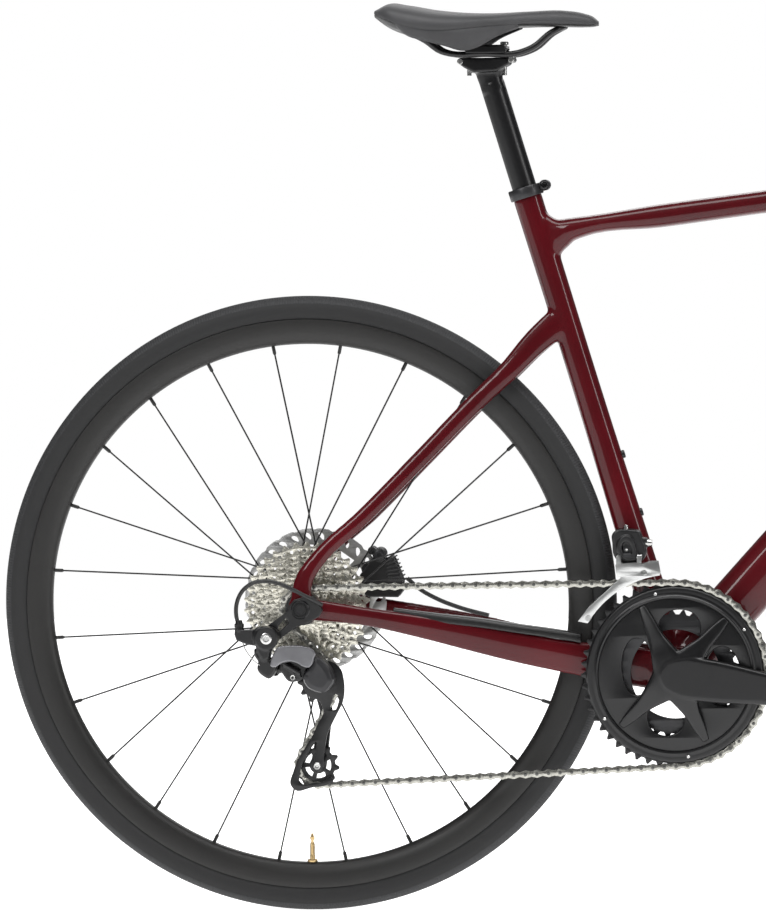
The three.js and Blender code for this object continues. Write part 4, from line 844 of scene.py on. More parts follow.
def rotor_shape(axle, y):
    """A disc with a notched edge, slanting slots in its track and openings between its arms."""
    x, z = axle[0], axle[2]
    outer = [
        around(x, z, ROTOR_RADIUS - ROTOR_NOTCH * (k % 8 < 2), turn)
        for k, turn in enumerate(full_turn(ROTOR_NOTCHES * 8))
    ]
    holes = [circle(x, z, 15.6, 32)]
    holes += [slot_loop(x, z, 71.6, turn, 2.7, 1.5) for turn in full_turn(30)]
    holes += [[around(x, z, r, turn + 0.1 + d) for r, d in ROTOR_GAP] for turn in full_turn(12)]
    return plate(outer, y - 0.9, y + 0.9, holes, 0.12)


def slot_loop(x, z, radius, turn, half, stretch):
    """A slanting teardrop hole, wide at its outer end."""
    loop = []
    for a in full_turn(12):
        r = radius + half * stretch * math.cos(a)
        t = turn + half * math.sin(a) * (1 + 0.35 * math.cos(a)) / radius + 0.03 * math.cos(a)
        loop.append(around(x, z, r, t))
    return loop


make("rear_rotor_shape", rotor_shape(AXLE, REAR_ROTOR_Y), "rear_wheel",
     ground_rotor("rear_rotor_steel", AXLE), "rear_rotor")
make("front_rotor_shape", rotor_shape(FRONT_AXLE, FRONT_ROTOR_Y), "front_wheel",
     ground_rotor("front_rotor_steel", FRONT_AXLE), "front_rotor")


# ---- chain ----
# The wheels in the order that the chain meets them: x, z, teeth, bend (1 or -1 for its sense), y.
CHAIN_WHEELS = [
    (BB[0], BB[2], RING_TEETH, 1, RING_Y),
    (TENSION[0], TENSION[2], PULLEY_TEETH, 1, COG_Y),
    (GUIDE[0], GUIDE[2], PULLEY_TEETH, -1, COG_Y),
    (AXLE[0], AXLE[2], COG_TEETH[0], 1, COG_Y),
]


def run_heading(a, b):
    """The heading of the straight run from wheel a to wheel b."""
    dx, dz = b[0] - a[0], b[1] - a[1]
    rise = b[3] * pitch_radius(b[2]) - a[3] * pitch_radius(a[2])
    return math.atan2(dz, dx) + math.asin(rise / math.hypot(dx, dz))


def chain_path():
    """Dense points round the whole loop; its last point is its first again."""
    points = []
    following = [*CHAIN_WHEELS[1:], CHAIN_WHEELS[0]]
    for before, gear, after in zip([CHAIN_WHEELS[-1], *CHAIN_WHEELS], CHAIN_WHEELS, following):
        x, z, teeth, bend, y = gear
        arriving = run_heading(before, gear)
        leaving = run_heading(gear, after)
        while (leaving - arriving) * -bend < 0:
            leaving -= 2 * math.pi * bend
        while abs(leaving - arriving) > 2 * math.pi:
            leaving += 2 * math.pi * bend
        steps = 80
        for k in range(steps + 1):
            heading = arriving + (leaving - arriving) * k / steps
            right = (math.sin(heading), -math.cos(heading))
            r = -bend * pitch_radius(teeth)
            points.append((x + right[0] * r, y, z + right[1] * r))
    return np.array([*points, points[0]])


def chain_pins():
    """Pins one pitch apart round the loop, an even number of them."""
    path = chain_path()
    reach = np.concatenate([[0], np.cumsum(np.linalg.norm(np.diff(path, axis=0), axis=1))])
    count = int(round(reach[-1] / PITCH / 2)) * 2
    along = np.linspace(0, reach[-1], count, endpoint=False)
    return np.stack([np.interp(along, reach, path[:, k]) for k in range(3)], axis=1)


def link_outline(length, end, waist):
    """The waisted outline of a side plate, as (along, up) points."""
    loop = []
    for sign, centre in ((-1, 0.0), (1, length)):
        for k in range(9):
            turn = -sign * math.pi / 2 + math.pi * k / 8
            loop.append((centre + end * math.cos(turn), end * math.sin(turn)))
        loop.append((length / 2, waist * sign))
    return loop


def chain_link(a, b, outer):
    """Two side plates from pin a to pin b, with a roller at a."""
    a, b = np.array(a), np.array(b)
    way = (b - a) / np.linalg.norm(b - a)
    up = np.cross(way, (0, 1, 0))
    up /= np.linalg.norm(up)
    side = np.cross(up, way)
    near, far = (1.95, 2.6) if outer else (1.25, 1.9)
    end, waist = (4.15, 2.3) if outer else (4.2, 2.8)
    length = np.linalg.norm(b - a)
    middle = length / 2
    loop = link_outline(length, end, waist)
    made = []
    for sign in (-1, 1):
        rings = []
        for y, shrink in ((near, 1.0), (far - 0.2, 1.0), (far, 0.9)):
            shorter = 1 - (1 - shrink) * 0.4
            rings.append([
                a + way * (middle + (u - middle) * shorter) + up * v * shrink + side * sign * y
                for u, v in loop
            ])
        made.append(skin(rings))
    made.append(pipe([a - side * 1.2, a + side * 1.2], 3.85, 12, 1))
    return merge(*made)


PINS = chain_pins()


def phase_of(gear):
    """The angle of a pin that lies on a wheel, so that its hollows meet the pins."""
    x, z, teeth = gear[:3]
    gap = np.abs(np.hypot(PINS[:, 0] - x, PINS[:, 2] - z) - pitch_radius(teeth))
    on = [p for p, g in zip(PINS, gap) if g < 0.3]
    middle = on[len(on) // 2]
    return math.atan2(middle[2] - z, middle[0] - x)


def on_cage(pin):
    """True for the stretch that runs over the two pulleys."""
    return pin[2] < GUIDE[2] + 18 and pin[0] < TENSION[0] + 30


def chain():
    """Links and pins, in the stretch that rides on the cage and the rest that stands still."""
    links = {"frame": [], "mech_cage": []}
    pins = {"frame": [], "mech_cage": []}
    for i, (a, b) in enumerate(zip(PINS, [*PINS[1:], PINS[0]])):
        body = "mech_cage" if on_cage(a) and on_cage(b) else "frame"
        links[body].append(chain_link(a, b, i % 2 == 0))
        pins[body].append(spun([(1.2, -2.95), (1.9, -2.8), (1.9, 2.8), (1.2, 2.95)], a, (0, 1, 0), 12))
    make("chain_drive_run", merge(*links["frame"]), "frame", CHAIN, "chain")
    make("chain_cage_run", merge(*links["mech_cage"]), "mech_cage", CHAIN, None)
    make("chain_drive_pins", merge(*pins["frame"]), "frame", PIN, None)
    make("chain_cage_pins", merge(*pins["mech_cage"]), "mech_cage", PIN, None)


chain()


# ---- cassette ----
# Rows of holes: the least radius of a cog that has one, the row's distance inside it, the holes' radius.
COG_HOLES = ((27, 2.6, 2.0), (36, 8.6, 2.5), (46, 15.5, 3.0))


def cog(index, teeth):
    """One cog, counted from the smallest."""
    y = COG_Y + COG_STEP * index
    phase = phase_of(CHAIN_WHEELS[3]) if index == 0 else 0.1 * index
    outline = sprocket(teeth, AXLE[0], AXLE[2], phase, 0.8)
    outer = pitch_radius(teeth) - 5.2
    holes = [circle(AXLE[0], AXLE[2], 17.6, 40)]
    rows = [(outer - inside, size) for least, inside, size in COG_HOLES if outer > least]
    for row, (radius, size) in enumerate(rows):
        count = int(2 * math.pi * radius / (size * 2 + 3.2))
        for k in range(count):
            turn = 2 * math.pi * (k + 0.5 * row) / count + index * 0.2
            holes.append(circle(*around(AXLE[0], AXLE[2], radius, turn), size, 10))
    return plate(outline, y - 0.8, y + 0.8, holes, 0.18)


def cassette_shape():
    """The cogs and the rings that keep them apart."""
    spacers = [
        spun([(17.6, 0.8), (20.5, 0.8), (20.5, 2.7), (17.6, 2.7)], (AXLE[0], COG_Y + COG_STEP * i, AXLE[2]),
             segments=40, closed=True)
        for i in range(len(COG_TEETH) - 1)
    ]
    return merge(*[cog(i, teeth) for i, teeth in enumerate(COG_TEETH)], *spacers)


def lockring_shape():
    """The notched ring that holds the cogs on."""
    notched = [
        around(AXLE[0], AXLE[2], 15.4 if k % 4 < 2 else 13.6, turn) for k, turn in enumerate(full_turn(48))
    ]
    return plate(circle(AXLE[0], AXLE[2], 18.6, 48), -65.6, -63.2, [notched], 0.25)


make("cassette_shape", cassette_shape(), "cassette", CHROME, "cassette")
make("cassette_lockring", lockring_shape(), "cassette", DARK, None)


# ---- crankset ----
RING_PHASE = phase_of(CHAIN_WHEELS[0])
ARM_TIPS = [(math.radians(turn), reach) for turn, reach in ((47, 84), (115.5, 84), (223.5, 82), (295, 80))]


RING_PIN_DEGREES = (33, 103, 212, 279)


def around_bb(radius, turn):
    return around(BB[0], BB[2], radius, turn)


def outer_ring_shape():
    holes = [circle(BB[0], BB[2], 88, 96)]
    return plate(sprocket(RING_TEETH, BB[0], BB[2], RING_PHASE), RING_Y - 1, RING_Y + 1, holes, 0.2)


def oval(x, z, half_x, half_z):
    return [(x + half_x * math.cos(a), z + half_z * math.sin(a)) for a in full_turn(36)]


def ring_windows():
    """Openings between the arms, each with its own shape."""
    left = oval(BB[0] - 41, BB[2] + 9, 17, 32)
    top = rounded([
        (391, 312), (392, 326), (401, 336), (414, 339), (427, 336), (436, 326), (436, 312), (427, 292),
        (413, 287), (400, 292),
    ], 4)
    bottom = rounded([
        (378, 222), (383, 236), (398, 243), (413, 236), (419, 222), (413, 206), (398, 200), (383, 206),
    ], 4)
    right = oval(BB[0] + 52, BB[2] - 2, 20, 33)
    return [left, top, bottom, right]


def ring_cover_shape():
    """The dished face inside the teeth, with its two raised rims."""
    rims = spun([
        (83.5, -4.5), (84.5, -6.6), (86.3, -7.0), (87.8, -5.0), (91, -4.4), (94.4, -5.2), (95.8, -4.6),
        (97.2, -1.6), (97.2, 1.0), (83.5, 1.0),
    ], (BB[0], RING_Y, BB[2]), segments=144, closed=True)
    dish = plate(circle(BB[0], BB[2], 85, 96), -52.2, -44, ring_windows(), 1.2)
    return merge(rims, dish)


def ring_pins_shape():
    """The small shift pins that show on the ring's face."""
    made = []
    for turn in RING_PIN_DEGREES:
        x, z = around_bb(91, math.radians(turn))
        made.append(spun([(1.7, 0), (1.7, 1.9), (1.2, 2.3)], (x, RING_Y - 4.0, z), (0, -1, 0), 14))
    return merge(*made)


def inner_ring_shape():
    holes = [circle(BB[0], BB[2], 49, 72)]
    outline = sprocket(INNER_TEETH, BB[0], BB[2], 0.05)
    return plate(outline, INNER_RING_Y - 1, INNER_RING_Y + 1, holes, 0.2)


def spider_arm(turn, reach):
    """An arm that narrows and sinks towards the rim of the dish."""
    stations = []
    for share, y, wide, thick in (
        (0.1, -61.6, 42, 16.4), (0.34, -60.4, 28, 15.6), (0.55, -57.6, 18, 13), (0.8, -54, 13.5, 9),
        (1.0, -51, 8, 5),
    ):
        x, z = around_bb(reach * share, turn)
        stations.append((x, y, z, wide, thick))
    return tube(stations, 32, 4.5)


def crank_point(along, across=0):
    """A point by its distance along the right crank arm and across it."""
    x = BB[0] + along * math.cos(CRANK_DIP) + across * math.sin(CRANK_DIP)
    z = BB[2] - along * math.sin(CRANK_DIP) + across * math.cos(CRANK_DIP)
    return (x, z)


def right_crank_shape():
    """The arm, its hub and the four arms that hold the rings."""
    edge = [(-12, 15), (6, 23), (36, 23.5), (100, 18), (150, 14.6), (172, 13.4)]
    outline = [(-19, 0), *edge, (185.5, 0), *[(along, -across) for along, across in reversed(edge)]]
    eye = circle(*crank_point(CRANK_LENGTH), 7, 24)
    arm = plate(rounded([crank_point(*point) for point in outline]), -70, -57.5, [eye], 4.2)
    hub = spun([(21, -39.4), (22, -50), (25, -58), (23, -68)], (BB[0], 0, BB[2]), segments=64)
    return merge(arm, hub, *[spider_arm(turn, reach) for turn, reach in ARM_TIPS])


def crank_cap_shape(y):
    """The preload cap in the middle of the left crank arm."""
    profile = [(9.5, 0), (9.5, 0.7), (8.6, 1.3), (5.2, 1.3), (4.6, 0.2), (2, 0.1)]
    return spun(profile, (BB[0], y, BB[2]), segments=36)


make("outer_chainring_shape", outer_ring_shape(), "crankset", SATIN, "outer_chainring")
make("outer_ring_face", ring_cover_shape(), "crankset", SATIN, None, 50)
make("outer_ring_pins", ring_pins_shape(), "crankset", STEEL, None)
make("inner_chainring_shape", inner_ring_shape(), "crankset", DARK, "inner_chainring")
fused("right_crank_shape", right_crank_shape(), "crankset", SATIN, 1.0, 10, "right_crank_arm")
softened("left_crank_arm", "crankset", SATIN, 1.0, 8)
make("left_crank_cap", crank_cap_shape(68.4), "crankset", GLOSS_BLACK, None)


# ---- rear mech ----
def mech_plate(points, y_low, y_high, bevel, holes=()):
    """A plate with a smooth outline through a few points."""
    return plate(rounded(points), y_low, y_high, holes, bevel)


CAGE_OUTLINE = [
    (26.8, 284.9), (35.5, 282.5), (42.5, 275.4), (45.6, 264), (46.1, 248.6), (43.7, 237.6), (38.8, 228.1),
    (31.5, 213.9), (27.2, 204.5), (24.4, 190), (22.6, 176), (22.2, 168), (16.4, 162.8), (10.8, 168),
    (12.6, 176),
    (14.3, 185.5), (14.7, 195.8), (9.9, 190.2), (5.1, 182.3), (0.5, 174.4), (-2.7, 166.5), (-4.4, 158.6),
    (-4.8, 152.3), (-1.7, 148.8), (11, 150), (23.7, 152.4), (28.2, 157.5), (32.9, 152.4), (26.8, 148.1),
    (10, 145), (-9.7, 142), (-14.4, 147.5), (-11, 163.3), (-6.1, 176), (2, 188.6), (10, 201.3),
    (16.5, 215.5), (22.7, 227.3), (18, 240.7), (6, 246), (1, 260), (6, 274), (16, 283),
]
CAGE_HOLE = [(35.6, 248.3), (39.8, 245.8), (39.2, 237.6), (35.4, 230.5), (31.2, 231), (32.6, 240.7)]
HANGER_OUTLINE = [
    (5.1, 356.5), (14.6, 356.5), (20.8, 348.6), (24.6, 341.6), (20.6, 334.5), (7.9, 327.4), (-4.8, 322.7),
    (-17.5, 314.1), (-27.1, 306.2), (-35, 304), (-42, 307.8), (-43.5, 314), (-39.2, 322.8), (-26.8, 331.4),
    (-14, 340.8), (-13.2, 346.3), (-7.6, 352.6),
]
HANGER_HOLE = [
    (-16, 332.8), (-13.6, 330), (-14.2, 326.6), (-23.5, 318.4), (-25.3, 320.4), (-24.5, 324.6), (-20, 329.6),
]
B_KNUCKLE = [
    (-49.5, 321.7), (-36.1, 324.8), (-25.1, 320.1), (-22.8, 312.2), (-26.1, 304), (-31, 297), (-33.5, 289),
    (-40, 286), (-46, 293.4), (-49, 304.4), (-51.7, 313.8),
]
B_ARM = [(-71.4, 320.5), (-50.9, 321), (-42, 316), (-48, 302.9), (-58, 304.5), (-70, 309.2), (-72.2, 315.8)]
B_FOOT = [
    (-50, 300), (-45.4, 293.2), (-32.1, 288), (-26, 280), (-28, 272.8), (-34.7, 266.9), (-40.2, 269.3),
    (-47.2, 277), (-46.5, 286.1), (-50, 292),
]
LINK_PLATE = [
    (-31.1, 287.6), (-28.2, 295), (-23.9, 302), (-13.6, 303.8), (3.7, 303.6), (14.2, 300.6), (18.1, 295.7),
    (16.6, 290), (14.5, 283.5), (10.5, 279.9), (5, 281), (-2.8, 285.2), (-12.2, 286.8), (-20.1, 284.4),
    (-26.5, 280.4), (-31.2, 281.3),
]
LINK_INSIDE = [
    (-24.8, 280), (-20, 286), (-12.1, 288), (0, 288), (8, 283), (6, 273), (4.3, 267.7), (-2.9, 263.7),
    (-13.9, 263.3), (-20.2, 270.8),
]
P_KNUCKLE = [
    (14, 295), (21.6, 291.4), (29.4, 283.4), (35.6, 273), (37.3, 264.9), (32.6, 256.6), (25.9, 251.6),
    (18, 252.6), (8.6, 257.3), (3.8, 264.9), (4.1, 272.8), (9, 278), (12.6, 284),
]


# A pulley's curved window, as (radius, angles) of its outer and inner edge.
PULLEY_WINDOW = ((14.6, (-0.44, -0.15, 0.15, 0.44)), (9.6, (0.4, 0, -0.4)))


def pulley_shape(place, phase):
    """A toothed pulley with curved windows, on its bushing."""
    x, _, z = place
    holes = [circle(x, z, 2.7, 16)]
    for turn in full_turn(5):
        holes.append([around(x, z, radius, turn + part) for radius, parts in PULLEY_WINDOW for part in parts])
    disc = plate(sprocket(PULLEY_TEETH, x, z, phase, 0.7), COG_Y - 1.1, COG_Y + 1.1, holes, 0.2)
    profile = [(2.8, -4), (6.8, -4), (7.2, -3), (7.2, 3), (6.8, 4), (2.8, 4)]
    return merge(disc, spun(profile, (x, COG_Y, z), segments=32, closed=True))


def b_knuckle_shape():
    """The knuckle at the hanger: its body, cable arm, foot and pivot barrel."""
    body = mech_plate(B_KNUCKLE, -96, -83, 2.6)
    arm = plate(B_ARM, -93, -84, (), 1.2)
    foot = mech_plate(B_FOOT, -94, -72, 2.6)
    barrel = spun([(12.2, -97.4), (12.9, -96.4), (12.9, -84)], (B_PIVOT[0], 0, B_PIVOT[2]), segments=40)
    return merge(body, arm, foot, barrel)


def p_knuckle_shape():
    return merge(mech_plate(P_KNUCKLE, -98.5, -74, 6.0), mech_plate(P_KNUCKLE, -90, -72, 1.5))


def link_inside_shape():
    """The darker inner side of the parallelogram, with its spring."""
    coil = []
    for k in range(120):
        turn = 2 * math.pi * k / 12
        share = k / 119
        coil.append((-20 + 20 * share, -85.5 + 3.4 * math.cos(turn), 284 - 12 * share + 3.4 * math.sin(turn)))
    return merge(mech_plate(LINK_INSIDE, -84.5, -76, 2.0), pipe(coil, 0.8, 8, 1))


def barrel_shape():
    """The ribbed gear adjuster at the housing's end."""
    base = Vector((-66.8, -88, 318.5))
    way = Vector((-0.8, 0, 14)).normalized()
    profile = [
        (4.2, -2), (5.4, 0), (5.4, 3), (4.6, 3.6), (4.6, 4.4), (5.4, 5), (5.4, 8.4), (4.2, 9.2), (3.4, 12.5),
    ]
    return spun(profile, base, way, 24)


def inner_cable_shape():
    """The bare inner cable from the adjuster to its clamp on the link."""
    route = [(-64.6, -88, 311), (-62, -89, 302), (-56, -91, 292.5), (-49, -93, 285.5), (-44, -94, 282)]
    return pipe(route, 0.65, 8, 6)


fused("derailleur_hanger_shape", plate(HANGER_OUTLINE, -82.2, -76.4, [HANGER_HOLE], 0.5), "frame",
      PLASTIC, 0.6, 2, "derailleur_hanger")
fused("mech_b_knuckle_shape", b_knuckle_shape(), "mech_b_knuckle", PLASTIC, 0.6, 4, "mech_b_knuckle")
softened("mech_outer_link", "mech_outer_link", DARK, 0.6, 5)
softened("mech_inner_link", "mech_inner_link", PLASTIC, 0.6, 5)
fused("mech_link_plate", mech_plate(LINK_PLATE, -101.5, -96, 1.3), "mech_outer_link", LIGHT, 0.5, 1, None)
fused("mech_link_inside", link_inside_shape(), "mech_inner_link", PLASTIC, 0.6, 2, None)
fused("mech_p_knuckle_shape", p_knuckle_shape(), "mech_p_knuckle", DARK, 0.6, 5, "mech_p_knuckle")
make("mech_cage_outer_shape", mech_plate(CAGE_OUTLINE, -71.8, -69.2, 0.5, [rounded(CAGE_HOLE, 4)]),
     "mech_cage", SATIN, "mech_cage_outer")
softened("mech_cage_inner", "mech_cage", SATIN, 0.6, 4)
for pulley_name, pulley_place, gear_wheel in (
    ("guide_pulley", GUIDE, CHAIN_WHEELS[2]), ("tension_pulley", TENSION, CHAIN_WHEELS[1]),
):
    make(pulley_name + "_shape", pulley_shape(pulley_place, phase_of(gear_wheel)), pulley_name, PLASTIC,
         pulley_name)
make("cage_bolts", bolt((TENSION[0], -71.6, TENSION[2]), (0, -1, 0), 3.8, 1.8), "mech_cage", STEEL, None)
make("barrel_adjuster", barrel_shape(), "mech_b_knuckle", SATIN, None)
make("mech_inner_cable", inner_cable_shape(), "mech_b_knuckle", STEEL, None)
make("mech_pivot_bolt", bolt((B_PIVOT[0], -97.0, B_PIVOT[2]), (0, -1, 0), 6.2, 1.4), "mech_b_knuckle",
     STEEL, None)
make("mech_cable_bolt", bolt((-9, -84, 268), (0, -1, 0), 3.0, 1.6), "mech_inner_link", STEEL, None)

HOUSING_ROUTE = [
    (24, -80.5, 347), (9, -86, 355.7), (-6, -88, 364), (-20, -88, 370.4), (-37, -88, 374), (-51, -88, 372),
    (-62.5, -88, 364), (-69.5, -88, 350), (-70, -88, 334), (-67.2, -88, 324),
]
HOSE_ROUTE = [(196, 41, 325), (165, 44, 333), (138, 47, 343), (118, 49, 354), (104, 50, 366)]
for cord, route, radius in (("rear_mech_housing", HOUSING_ROUTE, 2.3), ("rear_brake_hose", HOSE_ROUTE, 2.4)):
    make(cord + "_shape", pipe(route, radius, 16, 8), "frame", HOSE, cord)

# ---- front mech ----
FM_BLOCK = [
    (340, 421), (344.2, 425.5), (353, 426.8), (361.6, 426.2), (369.5, 424.2), (373, 416.7), (376, 409),
    (377, 398), (374, 393), (345, 392.5), (341.5, 398), (340.1, 410.5),
]
FM_COVER = [
    (345, 404), (346.2, 413), (350.5, 418.6), (356.5, 420.6), (362, 417.6), (365.6, 411), (367.6, 400),
    (368, 393.8), (354, 392.6), (349.2, 397),
]
FM_RECESS = [(352.5, 411.5), (356, 413), (359, 411), (359.6, 399), (354, 399)]


def front_mech_body_shape():
    """The block at the seat tube, its cover with a recess, and the lug in front."""
    block = mech_plate(FM_BLOCK, -41.5, -22, 2.4)
    cover = mech_plate(FM_COVER, -47.5, -40, 1.6, [rounded(FM_RECESS, 4)])
    lug = mech_plate([(366, 414), (378, 416), (379, 407), (367, 404)], -38, -24, 2.0)
    return merge(block, cover, lug)


fused("front_mech_body_shape", front_mech_body_shape(), "frame", PLASTIC, 0.6, 3, "front_mech_body")
softened("front_mech_link", "front_mech_link", DARK, 0.5, 3)


def front_cage_shape():
    """Two curved plates joined at the top and the tail, following the outer ring."""
    first, last = 98, 149
    edge = [around_bb(110.5, math.radians(first + (last - first) * k / 12)) for k in range(13)]
    top = [
        (302.7, 326.5), (314.6, 342.1), (330.5, 356.3), (343.2, 368), (350.4, 375), (346, 376), (345, 381),
        (344.2, 388.7), (354.4, 389.6), (368.7, 391), (373.4, 389), (381.3, 391.8), (390.7, 392.2),
        (393, 380),
    ]
    slot = rounded([(372, 381), (377, 383), (379, 379), (374, 377)], 4)
    outer = plate([*top, *edge], -54.8, -53.2, [slot], 0.3)
    inner = plate([*top, *edge], -42.4, -41.0, (), 0.2)
    bridge = plate([(368, 386.6), (390, 388), (390, 390.4), (368, 389)], -54.4, -41.2, (), 0.3)
    tail = spun([(3.0, -56.0), (3.0, -55.2), (2.2, -54.8), (2.2, -40.8)], (314, 0, 330), segments=20)
    return merge(outer, inner, bridge, tail)


def front_cage_hanger():
    """The two arms that carry the cage, and the rod that joins them."""
    wide = 5.2
    arms = [
        plate([(x, 382.5), (x + wide, 382.5), (x + wide, 398), (x, 398)], -52, -47.7, (), 0.8)
        for x in (345, 367.6)
    ]
    return merge(*arms, pipe([(346, -43.5, 397), (373, -43.5, 397)], 2.0, 16, 1))


make("front_mech_cage_shape", front_cage_shape(), "front_mech_cage", CHROME_PLATE, "front_mech_cage")
make("front_mech_hanger", front_cage_hanger(), "front_mech_cage", CHROME_PLATE, None)
make("front_mech_bolt", merge(
    bolt((355, -36, 424.5), (0, 0, 1), 2.6, 6.5, 0.5), bolt((376, -34, 411), (1, 0, 0), 4.2, 7.5, 0.5),
    bolt((356, -43.4, 404), (0, -1, 0), 1.8, 1.2, 0.5),
), "frame", STEEL, None)

# ---- brakes ----
CALIPER_BODY = [
    (66.5, 391), (57, 377), (51, 370.4), (50.5, 352), (60, 345.5), (94, 345), (99.5, 352), (99.5, 362),
    (97.5, 369), (93.4, 380), (89.4, 389), (86.2, 392.4), (80.4, 386.6), (77, 389),
]
# The front caliper is the rear one mirrored about a line at half this angle through the axle.
CALIPER_TURN = math.radians(170)
PISTON_CAP = (73, 393)


def caliper_point(point, axle, at_front):
    """Where a point of the rear caliper lies on the caliper at an axle."""
    if not at_front:
        return point
    radius = math.hypot(point[0], point[1] - AXLE[2])
    turn = CALIPER_TURN - math.atan2(point[1] - AXLE[2], point[0])
    return around(axle[0], AXLE[2], radius, turn)


def caliper_shape(axle, y, at_front):
    """Body, cooling fins and the two round bosses."""
    def at(point):
        return caliper_point(point, axle, at_front)

    def flat(points, low, high, bevel):
        return plate([at(p) for p in points], y + low, y + high, (), bevel)

    made = [flat(CALIPER_BODY, -10.5, -5.6, 0.8), flat(CALIPER_BODY, 5.6, 13.5, 1.6)]
    made.append(flat([(79, 388), (86.8, 391.6), (91, 384), (99, 364), (90, 362), (82, 372)], -8, 11, 1.5))
    made.append(flat([(51, 352), (52, 366), (60, 366), (60, 350)], -8, 11, 1.5))
    for k in range(7):
        share = k / 6
        a = at((80.5 + 2.5 * share, 386 - 22 * share))
        b = at((90.6 + 10.6 * share, 390.4 - 25.6 * share))
        made.append(pipe([(a[0], y - 9.8, a[1]), (b[0], y - 9.8, b[1])], 1.1, 8, 1))
        made.append(pipe([(b[0], y - 9.8, b[1]), (b[0], y + 11, b[1])], 1.1, 8, 1))
    for place, radius, low in ((PISTON_CAP, 7.4, -13), ((64.5, 397), 4.6, -9)):
        x, z = at(place)
        profile = [(radius - 1.2, low), (radius, low + 1.2), (radius, 11), (radius - 1.5, 12.4)]
        made.append(spun(profile, (x, y, z), segments=32))
    return merge(*made)


def caliper_cap_shape(axle, y, at_front):
    """The cap over the piston."""
    x, z = caliper_point(PISTON_CAP, axle, at_front)
    return bolt((x, y - 12.6, z), (0, -1, 0), 5.2, 1.2)


CALIPERS = (
    ("rear_caliper", "frame", AXLE, REAR_ROTOR_Y, False),
    ("front_caliper", "steering", FRONT_AXLE, FRONT_ROTOR_Y, True),
)
for caliper, body, *place in CALIPERS:
    fused(caliper + "_shape", caliper_shape(*place), body, PLASTIC, 0.6, 1, caliper)
for caliper, body, *place in CALIPERS:
    make(caliper + "_cap", caliper_cap_shape(*place), body, DARK, None)

# ---- seat ----
# Sections of the saddle: x, half width, top, lower edge of the pad, underside of the shell.
SADDLE = [
    (84, 44, 998, 993, 988), (96, 60, 1004.6, 987, 979), (120, 70, 1002.8, 979, 969),
    (150, 70, 997.5, 974, 965), (186, 58, 994, 976, 970), (216, 42, 993.5, 979, 975),
    (250, 27, 995, 980.5, 977), (290, 21, 995.3, 980, 977),
    (312, 18, 991.5, 979, 976.5), (322, 14, 987.5, 979, 977), (327, 7.5, 983, 979.5, 978),
]
# The lower edge of the skirts, as (x, z) points.
SKIRT = [
    (96, 990), (105, 983), (123, 968), (140, 963), (162, 957),
    (184, 951.5), (197, 955), (216, 966), (241, 976),
]


def saddle_sections():
    """The sections in small steps, smoothly from tail to nose."""
    rows = np.array([(x, 0, 0, half, high, low, under) for x, half, high, low, under in SADDLE])
    return [(p[0], p[3], p[4], p[5], p[6]) for p in smooth_path(rows, 7)]


def saddle_pad_shape():
    """The padded cover: crowned across, a shallow channel along the middle, rolled edges."""
    rings = []
    steps = 36
    for x, half, high, low, _ in saddle_sections():
        ring = []
        channel = 1.6 * math.exp(-(((x - 190) / 70) ** 2))
        for k in range(steps + 1):
            turn = math.pi * k / steps
            y = half * math.cos(turn)
            rise = math.sin(turn) ** 0.55
            dip = channel * math.exp(-((y / 6.5) ** 2))
            ring.append((x, y, low + (high - low) * rise - dip))
        for k in range(1, 9):
            y = -half * math.cos(math.pi * k / 9) * 0.95
            ring.append((x, y, low + 0.4 * math.sin(math.pi * k / 9)))
        rings.append(ring)
    return skin(rings)


def saddle_base_shape():
    """The hard shell under the pad."""
    rings = []
    steps = 20
    for x, half, _, low, under in saddle_sections():
        ring = []
        for k in range(steps + 1):
            turn = math.pi * k / steps
            ring.append((x, (half - 1.5) * math.cos(turn), low - 0.5 + 0.2 * math.sin(turn)))
        for k in range(1, 12):
            turn = math.pi * k / 12
            y = -(half - 1.5) * math.cos(turn) * 0.97
            ring.append((x, y, low - 1.2 - (low - under - 1.2) * math.sin(turn) ** 0.6))
        rings.append(ring)
    return skin(rings)


def rails_shape():
    """Both rails as one bent rod that turns back at the nose."""
    def side(s):
        return [
            (121, s * 30, 973), (138, s * 27, 964), (155, s * 23, 952), (166, s * 22, 949),
            (200, s * 22, 949), (240, s * 22, 949), (256, s * 21, 955), (276, s * 15, 971),
            (287, s * 8, 976.5),
        ]

    return pipe([*side(-1), (290, 0, 977.5), *reversed(side(1))], 3.45, 16, 5)


def skirt_shape(side):
    """The flap that carries the cover down beside the rails."""
    rows = saddle_sections()
    xs = [row[0] for row in rows]
    rings = []
    for x, edge, _ in smooth_path([(x, z, 0) for x, z in SKIRT], 6):
        half, low = (float(np.interp(x, xs, [row[k] for row in rows])) for k in (1, 3))
        drop = low + 3 - edge
        rings.append([
            (x, side * (half - 0.25), low + 3), (x, side * (half - 0.5), low + 3 - drop * 0.35),
            (x, side * (half - 2.2), low + 3 - drop * 0.75), (x, side * (half - 4.6), edge),
            (x, side * (half - 7.0), edge + 0.8), (x, side * (half - 5.4), low + 2 - drop * 0.7),
            (x, side * (half - 4.0), low + 2 - drop * 0.3), (x, side * (half - 3.4), low + 2.6),
        ])
    return skin(rings)


def seatpost_shape():
    """The post, its widening head and the cradle for the rails."""
    post = pipe([seat_point(663), seat_point(916)], 13.6, 40, 1)
    head = tube([
        (*seat_point(908), 27, 26), (*seat_point(923), 28, 26), (206, 0, 932, 36, 28), (204, 0, 938, 50, 30),
    ], power=2.6)
    cradle = plate([
        (179, 934), (190, 928), (216, 929.5), (229, 936.5), (232.6, 944.4), (174, 944.4), (174, 938),
    ], -18, 18, (), 1.4)
    return merge(post, head, cradle)


